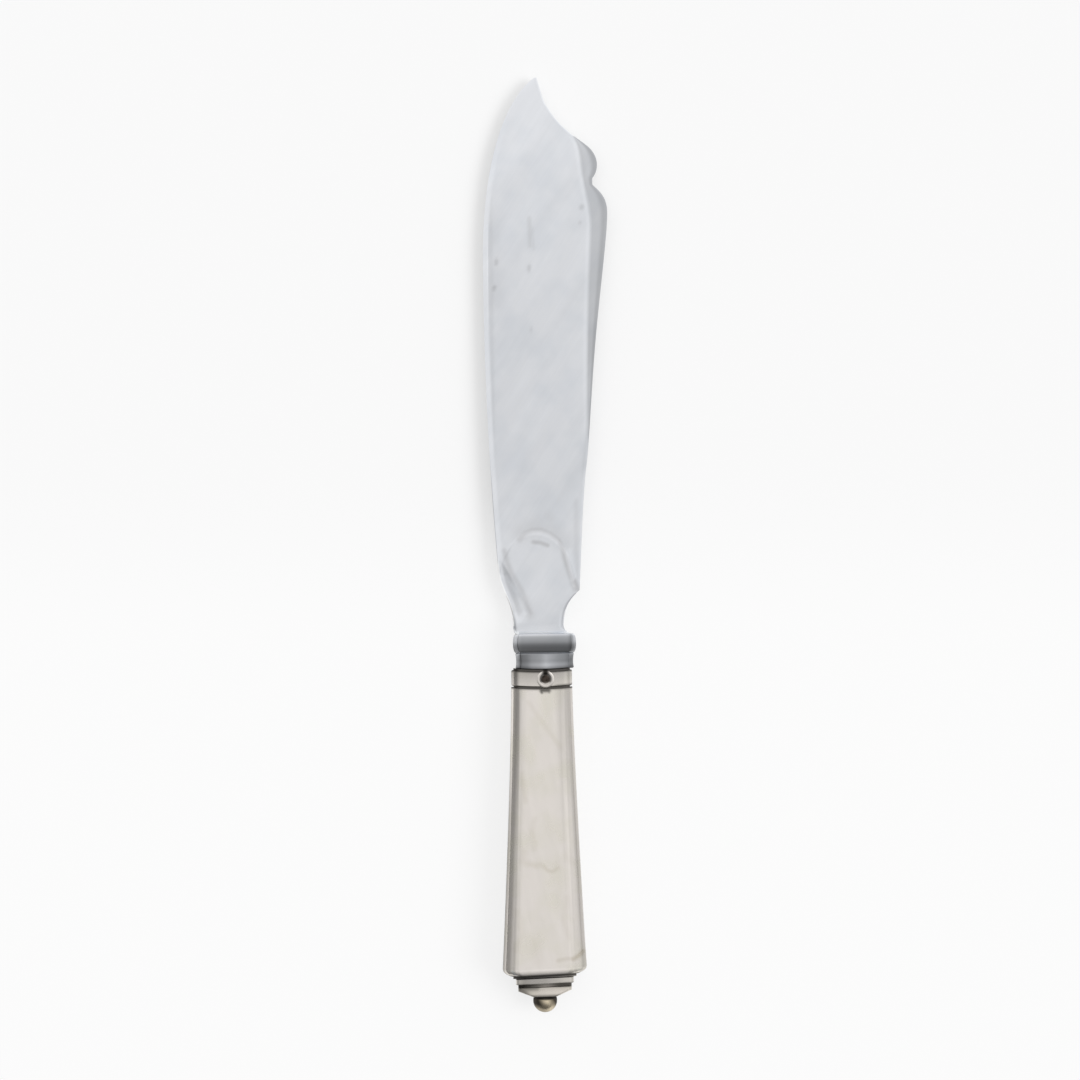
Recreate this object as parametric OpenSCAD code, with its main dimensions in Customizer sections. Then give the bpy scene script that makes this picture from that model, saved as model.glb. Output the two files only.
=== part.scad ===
// Fish knife with a notched steel blade, cemented into a hollow silver handle.
// The knife lies on the flat back of its handle: the blade points along +Y, its back faces +X
// and its front looks up. Stations along the knife are measured from the joint between the
// bolster and the collar, positive towards the tip, and widths are measured from the handle's axis.
// The edge side is the side of negative x. All lengths are in millimetres.

/* [Blade] */
// Length from the heel, where the back steps in to the neck, to the tip
blade_l = 148.4; // [120:0.1:175]
// How far the edge bellies out from the axis
edge_reach = 15.7; // [12:0.1:19]
// How far the highest hump of the back stands from the axis
back_reach = 20.4; // [16:0.1:24]
// Thickness at the heel, next to the back
heel_t = 1.7; // [1.4:0.05:2.4]
// Thickness near the tip
tip_t = 1; // [0.8:0.05:1.4]
// Width of the blunted tip
tip_w = 0.7; // [0.4:0.05:1.5]
// Thickness left at the blunt edge
edge_t = 0.5; // [0.3:0.05:0.7]
// Width of the narrow bevel along the edge
edge_bevel_w = 1.2; // [0.8:0.1:2]
// Thickness left at the outer line of the back, where its bevel is widest
back_t = 0.7; // [0.5:0.05:0.9]
// Width of the eased corner along the back, where it has no bevel
back_ease_w = 0.4; // [0.2:0.05:0.8]

/* [Root] */
// Length of the neck, from the bolster to the heel
neck_l = 12.5; // [10:0.1:16]
// Width of the neck
neck_w = 14.6; // [12:0.1:16]
// Thickness of the neck
neck_t = 3.4; // [2.8:0.1:4.4]
// Offset of the neck towards the edge side
neck_shift = 0.8; // [0:0.1:1.5]
// Thickness left at the long sides of the neck
neck_side_t = 1.2; // [0.8:0.1:1.8]
// Width of the rounding along the sides of the neck
neck_round_w = 1.5; // [1:0.1:2.5]
// Length of the raised root beyond the heel
root_l = 17.6; // [12:0.1:24]
// Half width of the arch that ends the raised root
root_arch_w = 11.4; // [9:0.1:14]
// Height of the raised root over each ground face
root_rise = 0.3; // [0.1:0.05:0.5]
// Offset of that arch towards the edge side
root_shift = 1.2; // [0:0.1:2]
// Width over which the raised root steps down on its back side
root_side_w = 0.9; // [0.4:0.1:2]
// Length over which the raised root runs out into the blade
root_runout = 2; // [1:0.1:4]
// Depth of the long bevel that thins the root towards the edge side
root_bevel_d = 0.7; // [0.3:0.05:1]

/* [Bolster] */
// Length of the rounded front roll
roll_l = 5.5; // [4:0.1:7]
// Width of the roll
roll_w = 18.2; // [17.4:0.1:20]
// Thickness of the roll
roll_t = 9.8; // [9.2:0.1:10.6]
// Depth of the groove between the roll and the band
roll_groove_d = 0.3; // [0.1:0.05:0.5]
// Length of the band behind the roll
band_l = 4.4; // [3:0.1:6]
// Width of the band
band_w = 16.9; // [15.5:0.1:17.4]
// Thickness of the band
band_t = 9; // [8:0.1:9.4]
// How far the band is hollowed between its ends
band_waist = 0.25; // [0.1:0.05:0.5]
// Width of the slanted sides of the bolster, seen from its broad face
bolster_side_w = 1.5; // [0.8:0.1:2.4]
// Depth of these slanted sides
bolster_side_d = 2.6; // [1.6:0.1:3.6]
// Length of the cove between the neck and the roll
cove_l = 2.4; // [1.5:0.1:4]
// Offset of the bolster towards the back side
bolster_shift = 0.9; // [0:0.1:1.5]

/* [Tang] */
// Length of the tang behind the bolster
tang_l = 62; // [45:0.5:70]
// Width of the tang at the bolster
tang_w = 7; // [5:0.1:9]
// Thickness of the tang at the bolster
tang_t = 4.6; // [3:0.1:5.6]
// Width of the tang at its end
tang_end_w = 4; // [3:0.1:5]
// Thickness of the tang at its end
tang_end_t = 2.6; // [2:0.1:3]

/* [Collar] */
// Length of the collar's band
collar_band_l = 4.3; // [3.5:0.1:6]
// Width of the collar
collar_w = 17.5; // [16.5:0.1:18.5]
// How far the collar's broad faces lie below those of the handle
collar_step = 0.35; // [0.2:0.05:0.6]
// Width of the groove at each end of the collar
groove_w = 0.6; // [0.4:0.05:1]
// Depth of these grooves
groove_d = 0.6; // [0.3:0.05:0.9]
// Corner radius of the collar
collar_r = 2.4; // [1.5:0.1:3.2]
// Wall of the collar round its opening
collar_wall = 1.7; // [1.6:0.1:2.2]

/* [Handle] */
// Length of the two shells
handle_l = 83.2; // [70:0.1:100]
// Width of the handle at the collar
handle_w = 17.6; // [16.8:0.1:18.6]
// Width of the handle at its end, before the corners are cut
handle_end_w = 24.2; // [21:0.1:27]
// Thickness of the handle at the collar
handle_t = 10.8; // [10:0.1:12.5]
// Thickness of the handle at its end, before the corners are cut
handle_end_t = 13; // [12.5:0.1:15]
// Width of the long corners at the collar
handle_corner_w = 3.2; // [2:0.1:4.2]
// Depth of the long corners at the collar
handle_corner_d = 2.7; // [1.8:0.1:3.4]
// Width of the long corners at the end
handle_end_corner_w = 4.8; // [3.6:0.1:5.6]
// Depth of the long corners at the end
handle_end_corner_d = 4; // [3:0.1:4.8]
// Wall of the shells
shell_wall = 1; // [0.6:0.05:1.3]
// Length of the cut corners at the end
corner_cut_l = 2.4; // [1.5:0.1:5]
// How far the cut corners reach in on each narrow side
corner_cut_w = 2.8; // [1.5:0.1:4]
// How far the end is drawn in on each broad face
corner_cut_t = 0.35; // [0.2:0.05:2]
// Room that the filler leaves inside the shells
filler_gap = 0.05; // [0.02:0.01:0.2]

/* [Handle end] */
// How far the foot under the large plate lies inside the end of the shells on each narrow side
foot_step = 0.2; // [0.1:0.05:0.6]
// Width of the large plate
large_plate_w = 16.6; // [14:0.1:18]
// Thickness of the large plate's edge, measured across the knife
large_plate_t = 8.6; // [7:0.1:10]
// Length of the large plate along the knife
large_plate_l = 1.55; // [1:0.05:3]
// Width of the small plate
small_plate_w = 15.4; // [12:0.1:16]
// Thickness of the small plate's edge, measured across the knife
small_plate_t = 7.6; // [6:0.1:9]
// Length of the small plate along the knife
small_plate_l = 2.65; // [2:0.05:4]
// How far the sloping rear corners of the small plate reach in
small_cut_w = 4.1; // [1:0.1:4.1]
// Length of these rear corners along the knife
small_cut_l = 1.5; // [0.5:0.1:1.9]
// Corner radius of both plates
plate_r = 1.1; // [0.5:0.1:1.8]
// Length of the groove under each plate
groove_under_l = 0.8; // [0.4:0.05:1.2]
// Depth of that groove, which is cut across the broad faces only
groove_under_d = 1; // [0.5:0.1:1.8]
// Diameter of the ball
ball_d = 6.9; // [5:0.1:7.4]
// How much of the ball is cut away where it sits on the small plate
ball_flat = 2.1; // [1:0.1:2.4]
// Diameter of the peg that holds the ball
ball_peg_d = 2.4; // [1.5:0.1:3]
// Length of that peg
ball_peg_l = 1.8; // [1:0.1:2.2]

/* [Bead] */
// Outer diameter of the ring round the bead
bead_ring_d = 5; // [4.4:0.1:5.2]
// Inner diameter of the ring
bead_ring_hole_d = 3.4; // [2.8:0.1:3.8]
// Height of the ring
bead_ring_h = 0.55; // [0.4:0.05:0.6]
// Depth of the ring's seat in the collar
bead_seat_d = 0.3; // [0.25:0.05:0.4]
// Offset of the bead towards the back side
bead_shift = 1.1; // [0:0.1:2]
// Diameter of the bead
bead_d = 2.6; // [2:0.1:2.7]
// Diameter of the bead's peg
bead_peg_d = 1; // [0.6:0.1:1.4]
// Play between a peg and its hole
peg_play = 0.04; // [0.02:0.01:0.08]

/* [Hidden] */
$fn = 64;

// Outline of the edge as joined cubic curves: shares of blade_l from the heel, and of edge_reach
edge_shares = [
    [0.058, 0.785], [0.267, 0.945], [0.450, 1.000],
    [0.640, 1.000], [0.840, 1.000], [0.960, 0.540], [1, 0]
];
// Outline of the back in the same form: shares of blade_l from the heel, and of back_reach
back_shares = [
    [0, 0.542], [0.078, 0.574], [0.173, 0.600], [0.233, 0.650],
    [0.275, 0.702], [0.375, 0.735], [0.467, 0.799],
    [0.550, 0.850], [0.690, 1.000], [0.735, 1.000],
    [0.765, 1.000], [0.776, 0.900], [0.790, 0.789],
    [0.794, 0.789], [0.799, 0.789], [0.803, 0.789],
    [0.816, 0.880], [0.846, 0.912], [0.868, 0.701],
    [0.890, 0.492], [0.901, 0.320], [0.953, 0.105],
    [0.968, 0.070], [0.984, 0.035], [1, 0]
];
// Inner line of the bevel along the back, in the same form
bevel_shares = [
    [0.250, 0.697], [0.361, 0.667], [0.523, 0.690], [0.698, 0.755],
    [0.745, 0.772], [0.779, 0.662], [0.840, 0.622],
    [0.856, 0.608], [0.873, 0.588], [0.885, 0.510]
];
// Half-section of a bevel from its outer line to its inner line: shares of its width and rise
bevel_section_shares = [[0, 0], [0.1, 0.35], [0.5, 0.64], [1, 1]];
// How thick the faces are at the edge bevel, as a share of their thickness at the back
edge_face_share = 0.55;
// How thick the edge may be beside its bevel, and an eased corner of the back beside the face
thin_share = 0.9;
// Width of the bevel of the back at which it reaches its full depth, as a share of back_reach
full_bevel_share = 0.24;
// Most of a section's width that one side may take up
side_share = 0.4;
// Line of the root's step on the back side: shares of root_l from the heel, and of the half width
// of its arch, both from its foot at the heel's corner up to where it joins the arch
root_side_shares = [[0, 1.04], [0.07, 0.91], [0.35, 0.8], [0.69, 0.71]];
// Where the root starts to thicken and to round into the neck, as a share of root_l
thicken_share = 0.3;
// Long bevel of the root: its start as a share of root_l, its end as a share of the neck's length,
// and how far its line stands from the axis there as a share of neck_w
root_bevel_start_share = 0.64;
root_bevel_end_share = 0.4;
root_bevel_line_share = 0.2;
// How far along the neck the curve of the heel keeps straight, and how far it has then opened
heel_curve_shares = [0.5, 0.75, 0.4];
// How far along the neck the curve of the edge side keeps straight
edge_root_share = 0.8;
// Slanted side of the bolster: shares of its width and depth, with a blunt corner at the face
bolster_side_shares = [[0, 0], [0.35, 0.5], [0.85, 0.94], [1, 1]];
// Long corner of the handle: an upright side, a flat facet and a soft turn into the broad face
handle_corner_shares = [[0, 0], [0.04, 0.3], [0.2, 0.56], [0.46, 0.76], [0.74, 0.93], [1, 1]];
// Power of the flare along the handle, and of the rounding of its cut corners
flare_power = 1.3;
corner_power = 1.6;
// How much of the long corners is left at the handle's end
end_corner_share = 0.7;
// How much of the collar's wall the bead's peg fills under its pocket
peg_share = 0.8;
// Corner radius of the tang, as a share of its thickness
tang_r_share = 0.1;
// How far the cutters of the small plate's corners run past it, as a share of the cut
overrun_share = 0.2;

// Steps of the curved surfaces
face_steps = 8;
side_steps = len(bolster_side_shares) - 1;
band_steps = 4;
roll_steps = 8;
cove_steps = 4;
neck_steps = 6;
root_steps = 15;
// Steps of the blade between one knot of its back and the next
knot_steps = [3, 6, 8, 9, 2, 10, 9, 4];
handle_steps = 10;
cut_steps = 4;
// Halvings that find the station on a curve
search_steps = 24;
// Overrun of cuts
cut = 0.5;

bolster_l = roll_l + band_l;
neck_y = bolster_l + cove_l;
heel_y = bolster_l + neck_l;
tip_y = heel_y + blade_l;
collar_l = collar_band_l + 2 * groove_w;
collar_t = handle_t - 2 * collar_step;
straight_l = handle_l - corner_cut_l;
end_y = -collar_l - handle_l;
small_plate_y = end_y - groove_under_l - large_plate_l;
ball_seat_y = small_plate_y - groove_under_l - small_plate_l;
butt_y = ball_seat_y - (ball_d - ball_flat);
bead_y = -groove_w - collar_band_l / 2;
// Height of the ring over the band, and depth of the pocket that sets the bead level with the ring
ring_rise = bead_ring_h - bead_seat_d;
bead_pocket = bead_d / 2 - ring_rise;

// The handle thickens towards its end, so the knife is turned by half that taper to lie flat on
// it, lifted to stand on z = 0 and centred over its own box
tilt = atan((handle_end_t - handle_t) / 2 / straight_l);
lift = handle_t / 2 * cos(tilt) - collar_l * sin(tilt);
centre_x = (back_reach - edge_reach) / 2;
centre_y = (tip_y + butt_y) / 2 * cos(tilt);

// Moves a point of the knife's own frame to where it lies at rest
function lay(p) = [
    p[0] - centre_x,
    p[1] * cos(tilt) + p[2] * sin(tilt) - centre_y,
    -p[1] * sin(tilt) + p[2] * cos(tilt) + lift
];

// The same move for whole solids
module place() {
    translate([-centre_x, -centre_y, lift]) rotate([-tilt, 0, 0]) children();
}

function mix(a, b, t) = a + (b - a) * t;
function clamp01(t) = max(0, min(1, t));
function ease(t) = let (c = clamp01(t)) c * c * (3 - 2 * c);
function between(a, b, steps) = [for (i = [1 : steps]) mix(a, b, i / steps)];
function middle(points) = [for (p = points) 1] * points / len(points);

// Cubic curve through four points: coordinate k at parameter t
function cubic(p, k, t) =
    pow(1 - t, 3) * p[0][k] + 3 * t * pow(1 - t, 2) * p[1][k]
    + 3 * t * t * (1 - t) * p[2][k] + pow(t, 3) * p[3][k];

// Parameter at which a curve that only goes forward reaches x
function cubic_t(p, x, low = 0, high = 1, n = 0) =
    let (mid = (low + high) / 2)
    n == search_steps ? mid
    : cubic(p, 0, mid) < x ? cubic_t(p, x, mid, high, n + 1)
    : cubic_t(p, x, low, mid, n + 1);

// Height at x of joined cubic curves, held level beyond their ends
function outline(points, x) =
    let (
        last = len(points) - 1,
        i = max([for (k = [0 : 3 : last - 3]) if (k == 0 || points[k][0] <= x) k])
    )
    x <= points[0][0] ? points[0][1]
    : x >= points[last][0] ? points[last][1]
    : let (p = [for (k = [0 : 3]) points[i + k]]) cubic(p, 1, cubic_t(p, x));

// Joins closed sections of equal length, in order along +Y, into one solid
module loft(sections) {
    n = len(sections[0]);
    last = len(sections) - 1;
    polyhedron(
        points = [for (s = sections) each s, middle(sections[0]), middle(sections[last])],
        faces = [
            for (i = [0 : n - 1]) [(last + 1) * n, i, (i + 1) % n],
            for (k = [0 : last - 1], i = [0 : n - 1])
                let (a = k * n + i, b = k * n + (i + 1) % n)
                each [[a, a + n, b + n], [a, b + n, b]],
            for (i = [0 : n - 1]) [(last + 1) * n + 1, last * n + (i + 1) % n, last * n + i]
        ]
    );
}

// Quarter round as shares of its width and rise
function round_shares(steps) = [for (i = [0 : steps]) let (a = 90 * i / steps) [1 - cos(a), sin(a)]];

// Upper line of a section from its edge side to its back side, as [x, half thickness]. Each side
// is [width, half thickness at its outer line, shares of its shape], and half(x) is the face.
function upper_line(edge, back, edge_side, back_side, half, steps) =
    let (a = edge_side[0] - edge, b = back - back_side[0], last = len(back_side[2]) - 1)
    [
        for (s = edge_side[2]) [mix(-edge, a, s[0]), mix(edge_side[1], half(a), s[1])],
        for (i = [1 : 1 : steps - 1]) let (x = mix(a, b, i / steps)) [x, half(x)],
        for (i = [last : -1 : 0])
            let (s = back_side[2][i]) [mix(back, b, s[0]), mix(back_side[1], half(b), s[1])]
    ];

// Whole section: the upper line, then the same line underneath
function whole(line, y) = [
    for (p = line) lay([p[0], y, p[1]]),
    for (i = [len(line) - 1 : -1 : 0]) lay([line[i][0], y, -line[i][1]])
];

// Line of one half of a shell over the front, where side is 1, or under the back, where it is -1.
// It starts and ends on the seam between the halves.
function half_line(line, y, side) =
    let (n = len(line) - 1)
    [for (p = [[line[0][0], 0], each line, [line[n][0], 0]]) lay([p[0], y, side * p[1]])];

// Upper line of a rounded bar that is w wide and t thick
function bar_line(w, t, r, shift, corner, steps) =
    let (s = [r, t / 2 - r, round_shares(corner)])
    upper_line(w / 2 - shift, w / 2 + shift, s, s, function (x) t / 2, steps);

// Joined curves in shares, turned to real lengths
function blade_curve(shares, reach) =
    [for (s = shares) [heel_y + s[0] * blade_l, mix(tip_w / 2, reach, s[1])]];

edge_curve = blade_curve(edge_shares, edge_reach);
back_curve = blade_curve(back_shares, back_reach);
bevel_curve = blade_curve(bevel_shares, back_reach);
neck_edge = neck_w / 2 + neck_shift;
neck_back = neck_w / 2 - neck_shift;
// From the neck out to the edge, and from the neck out to the heel
edge_root_curve = [
    [neck_y, neck_edge], [mix(neck_y, heel_y, edge_root_share), neck_edge],
    [heel_y, edge_curve[0][1]], edge_curve[0]
];
heel_curve = [
    [neck_y, neck_back], [mix(neck_y, heel_y, heel_curve_shares[0]), neck_back],
    [
        mix(neck_y, heel_y, heel_curve_shares[1]),
        mix(neck_back, back_curve[0][1], heel_curve_shares[2])
    ],
    back_curve[0]
];

// Distance of the edge and of the back from the axis, from the neck to the tip
function edge_at(y) = outline(y < edge_curve[0][0] ? edge_root_curve : edge_curve, y);
function back_at(y) = outline(y < heel_y ? heel_curve : back_curve, y);

// Width of the bevel along the back: an eased corner where the bevel's line is outside the blade
function back_bevel_at(y) =
    let (last = len(bevel_curve) - 1)
    y < bevel_curve[0][0] || y > bevel_curve[last][0] ? back_ease_w
    : max(back_ease_w, back_at(y) - outline(bevel_curve, y));

// How much of the neck's form a section has, on its edge side and on its back side
thicken_y = heel_y + thicken_share * root_l;
function neck_part(y) = ease((thicken_y - y) / (thicken_y - neck_y));
function heel_part(y) = ease((heel_y - y) / (heel_y - neck_y));

// Long bevel that thins the root towards the edge side, under the line that starts at the edge
root_bevel_y = [mix(neck_y, heel_y, root_bevel_end_share), heel_y + root_bevel_start_share * root_l];
function root_bevel_at(y, x) =
    let (
        line = mix(root_bevel_line_share * neck_w, edge_at(root_bevel_y[1]),
            clamp01((y - root_bevel_y[0]) / (root_bevel_y[1] - root_bevel_y[0]))),
        reach = max(edge_at(y) - line, edge_bevel_w)
    )
    root_bevel_d * clamp01((-x - line) / reach) * ease((y - neck_y) / (root_bevel_y[0] - neck_y));

// Broken line of shares read at part, held level beyond its ends
function along(shares, part, k = 0) =
    part <= shares[k][0] ? shares[k][1]
    : k == len(shares) - 1 ? shares[k][1]
    : part < shares[k + 1][0]
        ? mix(shares[k][1], shares[k + 1][1], (part - shares[k][0]) / (shares[k + 1][0] - shares[k][0]))
    : along(shares, part, k + 1);

// Half thickness of the forging at x: the ground face, the raised root on it, and the neck
function half_at(y, x) =
    let (
        f = (x + edge_at(y)) / (edge_at(y) + back_at(y)),
        ground = mix(heel_t, tip_t, clamp01((y - heel_y) / blade_l)) / 2 * mix(edge_face_share, 1, f),
        arch = 1 - pow((x + root_shift) / root_arch_w, 2),
        root_end = heel_y + root_l * sqrt(max(0, arch)),
        root_side = root_arch_w * along(root_side_shares, (y - heel_y) / root_l) - root_shift + root_side_w,
        root_part = ease((root_end - y) / root_runout) * ease((root_side - x) / root_side_w),
        raised = ground + root_rise * root_part
    )
    mix(raised, neck_t / 2, neck_part(y)) - root_bevel_at(y, x);

// Section of the forging from the neck to the tip
function blade_section(y) =
    let (
        edge = edge_at(y),
        back = back_at(y),
        most = side_share * (edge + back),
        edge_w = min(most, mix(edge_bevel_w, neck_round_w, neck_part(y))),
        back_w = min(most, mix(back_bevel_at(y), neck_round_w, heel_part(y))),
        half = function (x) half_at(y, x),
        edge_half = min(mix(edge_t, neck_side_t, neck_part(y)) / 2, thin_share * half(edge_w - edge)),
        eased = thin_share * half(back - back_w),
        full = clamp01((back_w - back_ease_w) / (full_bevel_share * back_reach)),
        back_half = mix(mix(eased, back_t / 2, full), neck_side_t / 2, heel_part(y)),
        shape = function (part) mix(bevel_section_shares, round_shares(side_steps), part)
    )
    whole(upper_line(edge, back, [edge_w, edge_half, shape(neck_part(y))],
        [back_w, back_half, shape(heel_part(y))], half, face_steps), y);

// Section of the cove: it opens from the neck, where open is 0, to the roll, where it is 1
roll_end_w = band_w - 2 * roll_groove_d;
roll_end_t = band_t - 2 * roll_groove_d;
function cove_section(a) =
    let (
        open = 1 - cos(a),
        half = mix(neck_t, roll_end_t, open) / 2,
        side = [
            mix(neck_round_w, bolster_side_w, open),
            mix(neck_side_t / 2, roll_end_t / 2 - bolster_side_d, open),
            mix(round_shares(side_steps), bolster_side_shares, open)
        ]
    )
    whole(upper_line(mix(neck_edge, roll_end_w / 2 - bolster_shift, open),
        mix(neck_back, roll_end_w / 2 + bolster_shift, open), side, side,
        function (x) half, face_steps), neck_y - cove_l * sin(a));

function bolster_section(y, w, t) =
    let (side = [bolster_side_w, t / 2 - bolster_side_d, bolster_side_shares])
    whole(upper_line(w / 2 - bolster_shift, w / 2 + bolster_shift, side, side,
        function (x) t / 2, face_steps), y);

function tang_section(y, part) =
    let (t = mix(tang_t, tang_end_t, part))
    whole(bar_line(mix(tang_w, tang_end_w, part), t, tang_r_share * t, 0, side_steps, face_steps), y);

knots = [for (k = [0 : 3 : len(back_shares) - 1]) back_shares[k][0]];
root_stations = between(heel_y, heel_y + root_l, root_steps);
blade_stations = [
    for (k = [0 : len(knots) - 2])
        each between(k == 0 ? heel_y + root_l : heel_y + knots[k] * blade_l,
            heel_y + knots[k + 1] * blade_l, knot_steps[k])
];

module blade() {
    color("lightsteelblue")
        loft([
            tang_section(-tang_l, 1),
            tang_section(0, 0),
            for (i = [0 : band_steps])
                let (part = i / band_steps, waist = 2 * band_waist * (1 - pow(2 * part - 1, 2)))
                bolster_section(part * band_l, band_w - waist, band_t - waist),
            for (i = [0 : roll_steps])
                let (a = 180 * i / roll_steps)
                bolster_section(band_l + roll_l / 2 * (1 - cos(a)),
                    mix(roll_end_w, roll_w, sin(a)), mix(roll_end_t, roll_t, sin(a))),
            for (i = [cove_steps - 1 : -1 : 1]) cove_section(90 * i / cove_steps),
            for (y = [neck_y, each between(neck_y, heel_y, neck_steps)]) blade_section(y),
            for (y = [each root_stations, each blade_stations]) blade_section(y)
        ]);
}

// Outline of a bar with rounded corners
module rounded(w, t, r) {
    square([w, t - 2 * r], center = true);
    square([w - 2 * r, t], center = true);
    for (x = [-1, 1], z = [-1, 1]) translate([x * (w / 2 - r), z * (t / 2 - r)]) circle(r);
}

// Rounded bar that runs back from station y
module bar(y, w, t, l, r) {
    translate([0, y, 0]) rotate([90, 0, 0]) linear_extrude(l) rounded(w, t, r);
}

// Stands its children on the band over the bead, on the front where side is 1 or on the back
module on_band(side) {
    place() mirror([0, 0, (1 - side) / 2]) translate([bead_shift, bead_y, collar_t / 2]) children();
}

collar_hole_w = collar_w - 2 * collar_wall;
collar_hole_t = collar_t - 2 * collar_wall;
collar_hole_r = collar_r / 2;

module collar() {
    color("silver")
        difference() {
            place() {
                bar(0, collar_w - 2 * groove_d, collar_t - 2 * groove_d, collar_l, collar_r - groove_d);
                bar(-groove_w, collar_w, collar_t, collar_band_l, collar_r);
            }
            place() bar(cut, collar_hole_w, collar_hole_t, collar_l + 2 * cut, collar_hole_r);
            for (side = [1, -1])
                on_band(side) {
                    translate([0, 0, -bead_seat_d]) cylinder(d = bead_ring_d, h = bead_seat_d + cut);
                    translate([0, 0, -bead_pocket]) cylinder(d = bead_ring_hole_d, h = bead_pocket + cut);
                    translate([0, 0, -collar_wall - cut])
                        cylinder(d = bead_peg_d + 2 * peg_play, h = collar_wall + 2 * cut);
                }
        }
}

module bead_ring(side) {
    color("silver")
        on_band(side)
            translate([0, 0, -bead_seat_d])
                difference() {
                    cylinder(d = bead_ring_d, h = bead_ring_h);
                    translate([0, 0, -cut]) cylinder(d = bead_ring_hole_d, h = bead_ring_h + 2 * cut);
                }
}

module bead(side) {
    peg = peg_share * (collar_wall - bead_pocket);
    color("dimgray")
        on_band(side)
            translate([0, 0, -bead_pocket]) {
                intersection() {
                    sphere(d = bead_d);
                    translate([-bead_d, -bead_d, 0]) cube(2 * bead_d);
                }
                translate([0, 0, -peg]) cylinder(d = bead_peg_d, h = peg + bead_d / 4);
            }
}

// Upper line of the handle, inset from its surface, at distance d behind the collar
function handle_line(d, inset) =
    let (
        part = clamp01(d / straight_l),
        drawn = pow(max(0, (d - straight_l) / corner_cut_l), corner_power),
        w = mix(handle_w, handle_end_w, pow(part, flare_power)) - 2 * corner_cut_w * drawn,
        t = mix(handle_t, handle_end_t, part) - 2 * corner_cut_t * drawn,
        left = mix(1, end_corner_share, drawn),
        corner_w = left * mix(handle_corner_w, handle_end_corner_w, part) - inset,
        corner_d = left * mix(handle_corner_d, handle_end_corner_d, part) - inset,
        half = w / 2 - inset,
        side = [corner_w, t / 2 - inset - corner_d, handle_corner_shares]
    )
    upper_line(half, half, side, side, function (x) t / 2 - inset, 1);

// Stations of the handle from its end to the collar, as distances behind the collar
function handle_stations(wall) = [
    for (i = [cut_steps : -1 : 1]) straight_l + (corner_cut_l - wall) * i / cut_steps,
    for (i = [handle_steps : -1 : 0]) straight_l * i / handle_steps
];

// Half of a hollow handle, from its closed end to its open front. The outer and inner lines run
// in step, from seam to seam, and the wall between them closes at the front, seams and end.
module half_shell(outer, inner, side) {
    n = len(outer[0]);
    rings = len(outer);
    in = rings * n;
    centre = 2 * in;
    right = n - 1;
    front = (rings - 1) * n;
    faces = [
        for (k = [0 : n : front - n], i = [k : k + right - 1])
            each [
                [i, i + n, i + n + 1], [i, i + n + 1, i + 1],
                [in + i, in + i + n + 1, in + i + n], [in + i, in + i + 1, in + i + n + 1]
            ],
        for (i = [front : front + right - 1]) each [[i + 1, i, in + i], [i + 1, in + i, in + i + 1]],
        for (k = [0 : n : front - n])
            each [
                [k + n, k, in + k], [k + n, in + k, in + k + n],
                [k + right, k + right + n, in + k + right + n],
                [k + right, in + k + right + n, in + k + right]
            ],
        for (i = [0 : right]) each [
            [centre, i, (i + 1) % n], [centre + 1, in + (i + 1) % n, in + i]
        ],
        [0, right, in + right], [0, in + right, in]
    ];
    polyhedron(
        points = [for (r = outer) each r, for (r = inner) each r, middle(outer[0]), middle(inner[0])],
        faces = side > 0 ? faces : [for (f = faces) [f[2], f[1], f[0]]]
    );
}

module handle_shell(side) {
    color("silver")
        half_shell(
            [for (d = handle_stations(0)) half_line(handle_line(d, 0), -collar_l - d, side)],
            [
                for (d = handle_stations(shell_wall))
                    half_line(handle_line(d, shell_wall), -collar_l - d, side)
            ],
            side
        );
}

// Cement in the shells and in the collar, round the tang
module handle_filler() {
    inset = shell_wall + filler_gap;
    hole = bar_line(collar_hole_w - 2 * filler_gap, collar_hole_t - 2 * filler_gap, collar_hole_r,
        0, len(handle_corner_shares) - 1, 1);
    color("tan")
        difference() {
            loft([
                for (d = handle_stations(inset)) whole(handle_line(d, inset), -collar_l - d),
                whole(hole, -collar_l),
                whole(hole, -filler_gap)
            ]);
            loft([tang_section(-tang_l, 1), tang_section(0, 0), tang_section(cut, 0)]);
        }
}

// Plate on the handle's end, with the thinner foot that stands it off and so makes the groove
module end_plate(y, foot_w, w, t, l) {
    bar(y, foot_w, t - 2 * groove_under_d, groove_under_l, plate_r);
    bar(y - groove_under_l, w, t, l, plate_r);
}

module end_plate_large() {
    foot_w = handle_end_w - 2 * corner_cut_w - 2 * foot_step;
    color("silver")
        place() end_plate(end_y, foot_w, large_plate_w, large_plate_t, large_plate_l);
}

module end_plate_small() {
    inner = [small_plate_w / 2 - small_cut_w, ball_seat_y];
    slope = [small_cut_w, small_cut_l];
    low = inner - overrun_share * slope;
    high = inner + (1 + overrun_share) * slope;
    color("silver")
        place()
            difference() {
                end_plate(small_plate_y, small_plate_w, small_plate_w, small_plate_t, small_plate_l);
                for (side = [-1, 1])
                    linear_extrude(small_plate_t + 2 * cut, center = true)
                        polygon([for (p = [low, high, [high[0], low[1]]]) [side * p[0], p[1]]]);
                translate([0, ball_seat_y + ball_peg_l + peg_play, 0])
                    rotate([90, 0, 0])
                        cylinder(d = ball_peg_d + 2 * peg_play, h = ball_peg_l + peg_play + cut);
            }
}

module end_ball() {
    color("silver")
        place()
            translate([0, ball_seat_y, 0]) {
                difference() {
                    translate([0, ball_d / 2 - (ball_d - ball_flat), 0]) sphere(d = ball_d);
                    translate([-ball_d, 0, -ball_d]) cube(2 * ball_d);
                }
                translate([0, ball_peg_l, 0])
                    rotate([90, 0, 0]) cylinder(d = ball_peg_d, h = ball_peg_l + ball_d / 4);
            }
}

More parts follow.
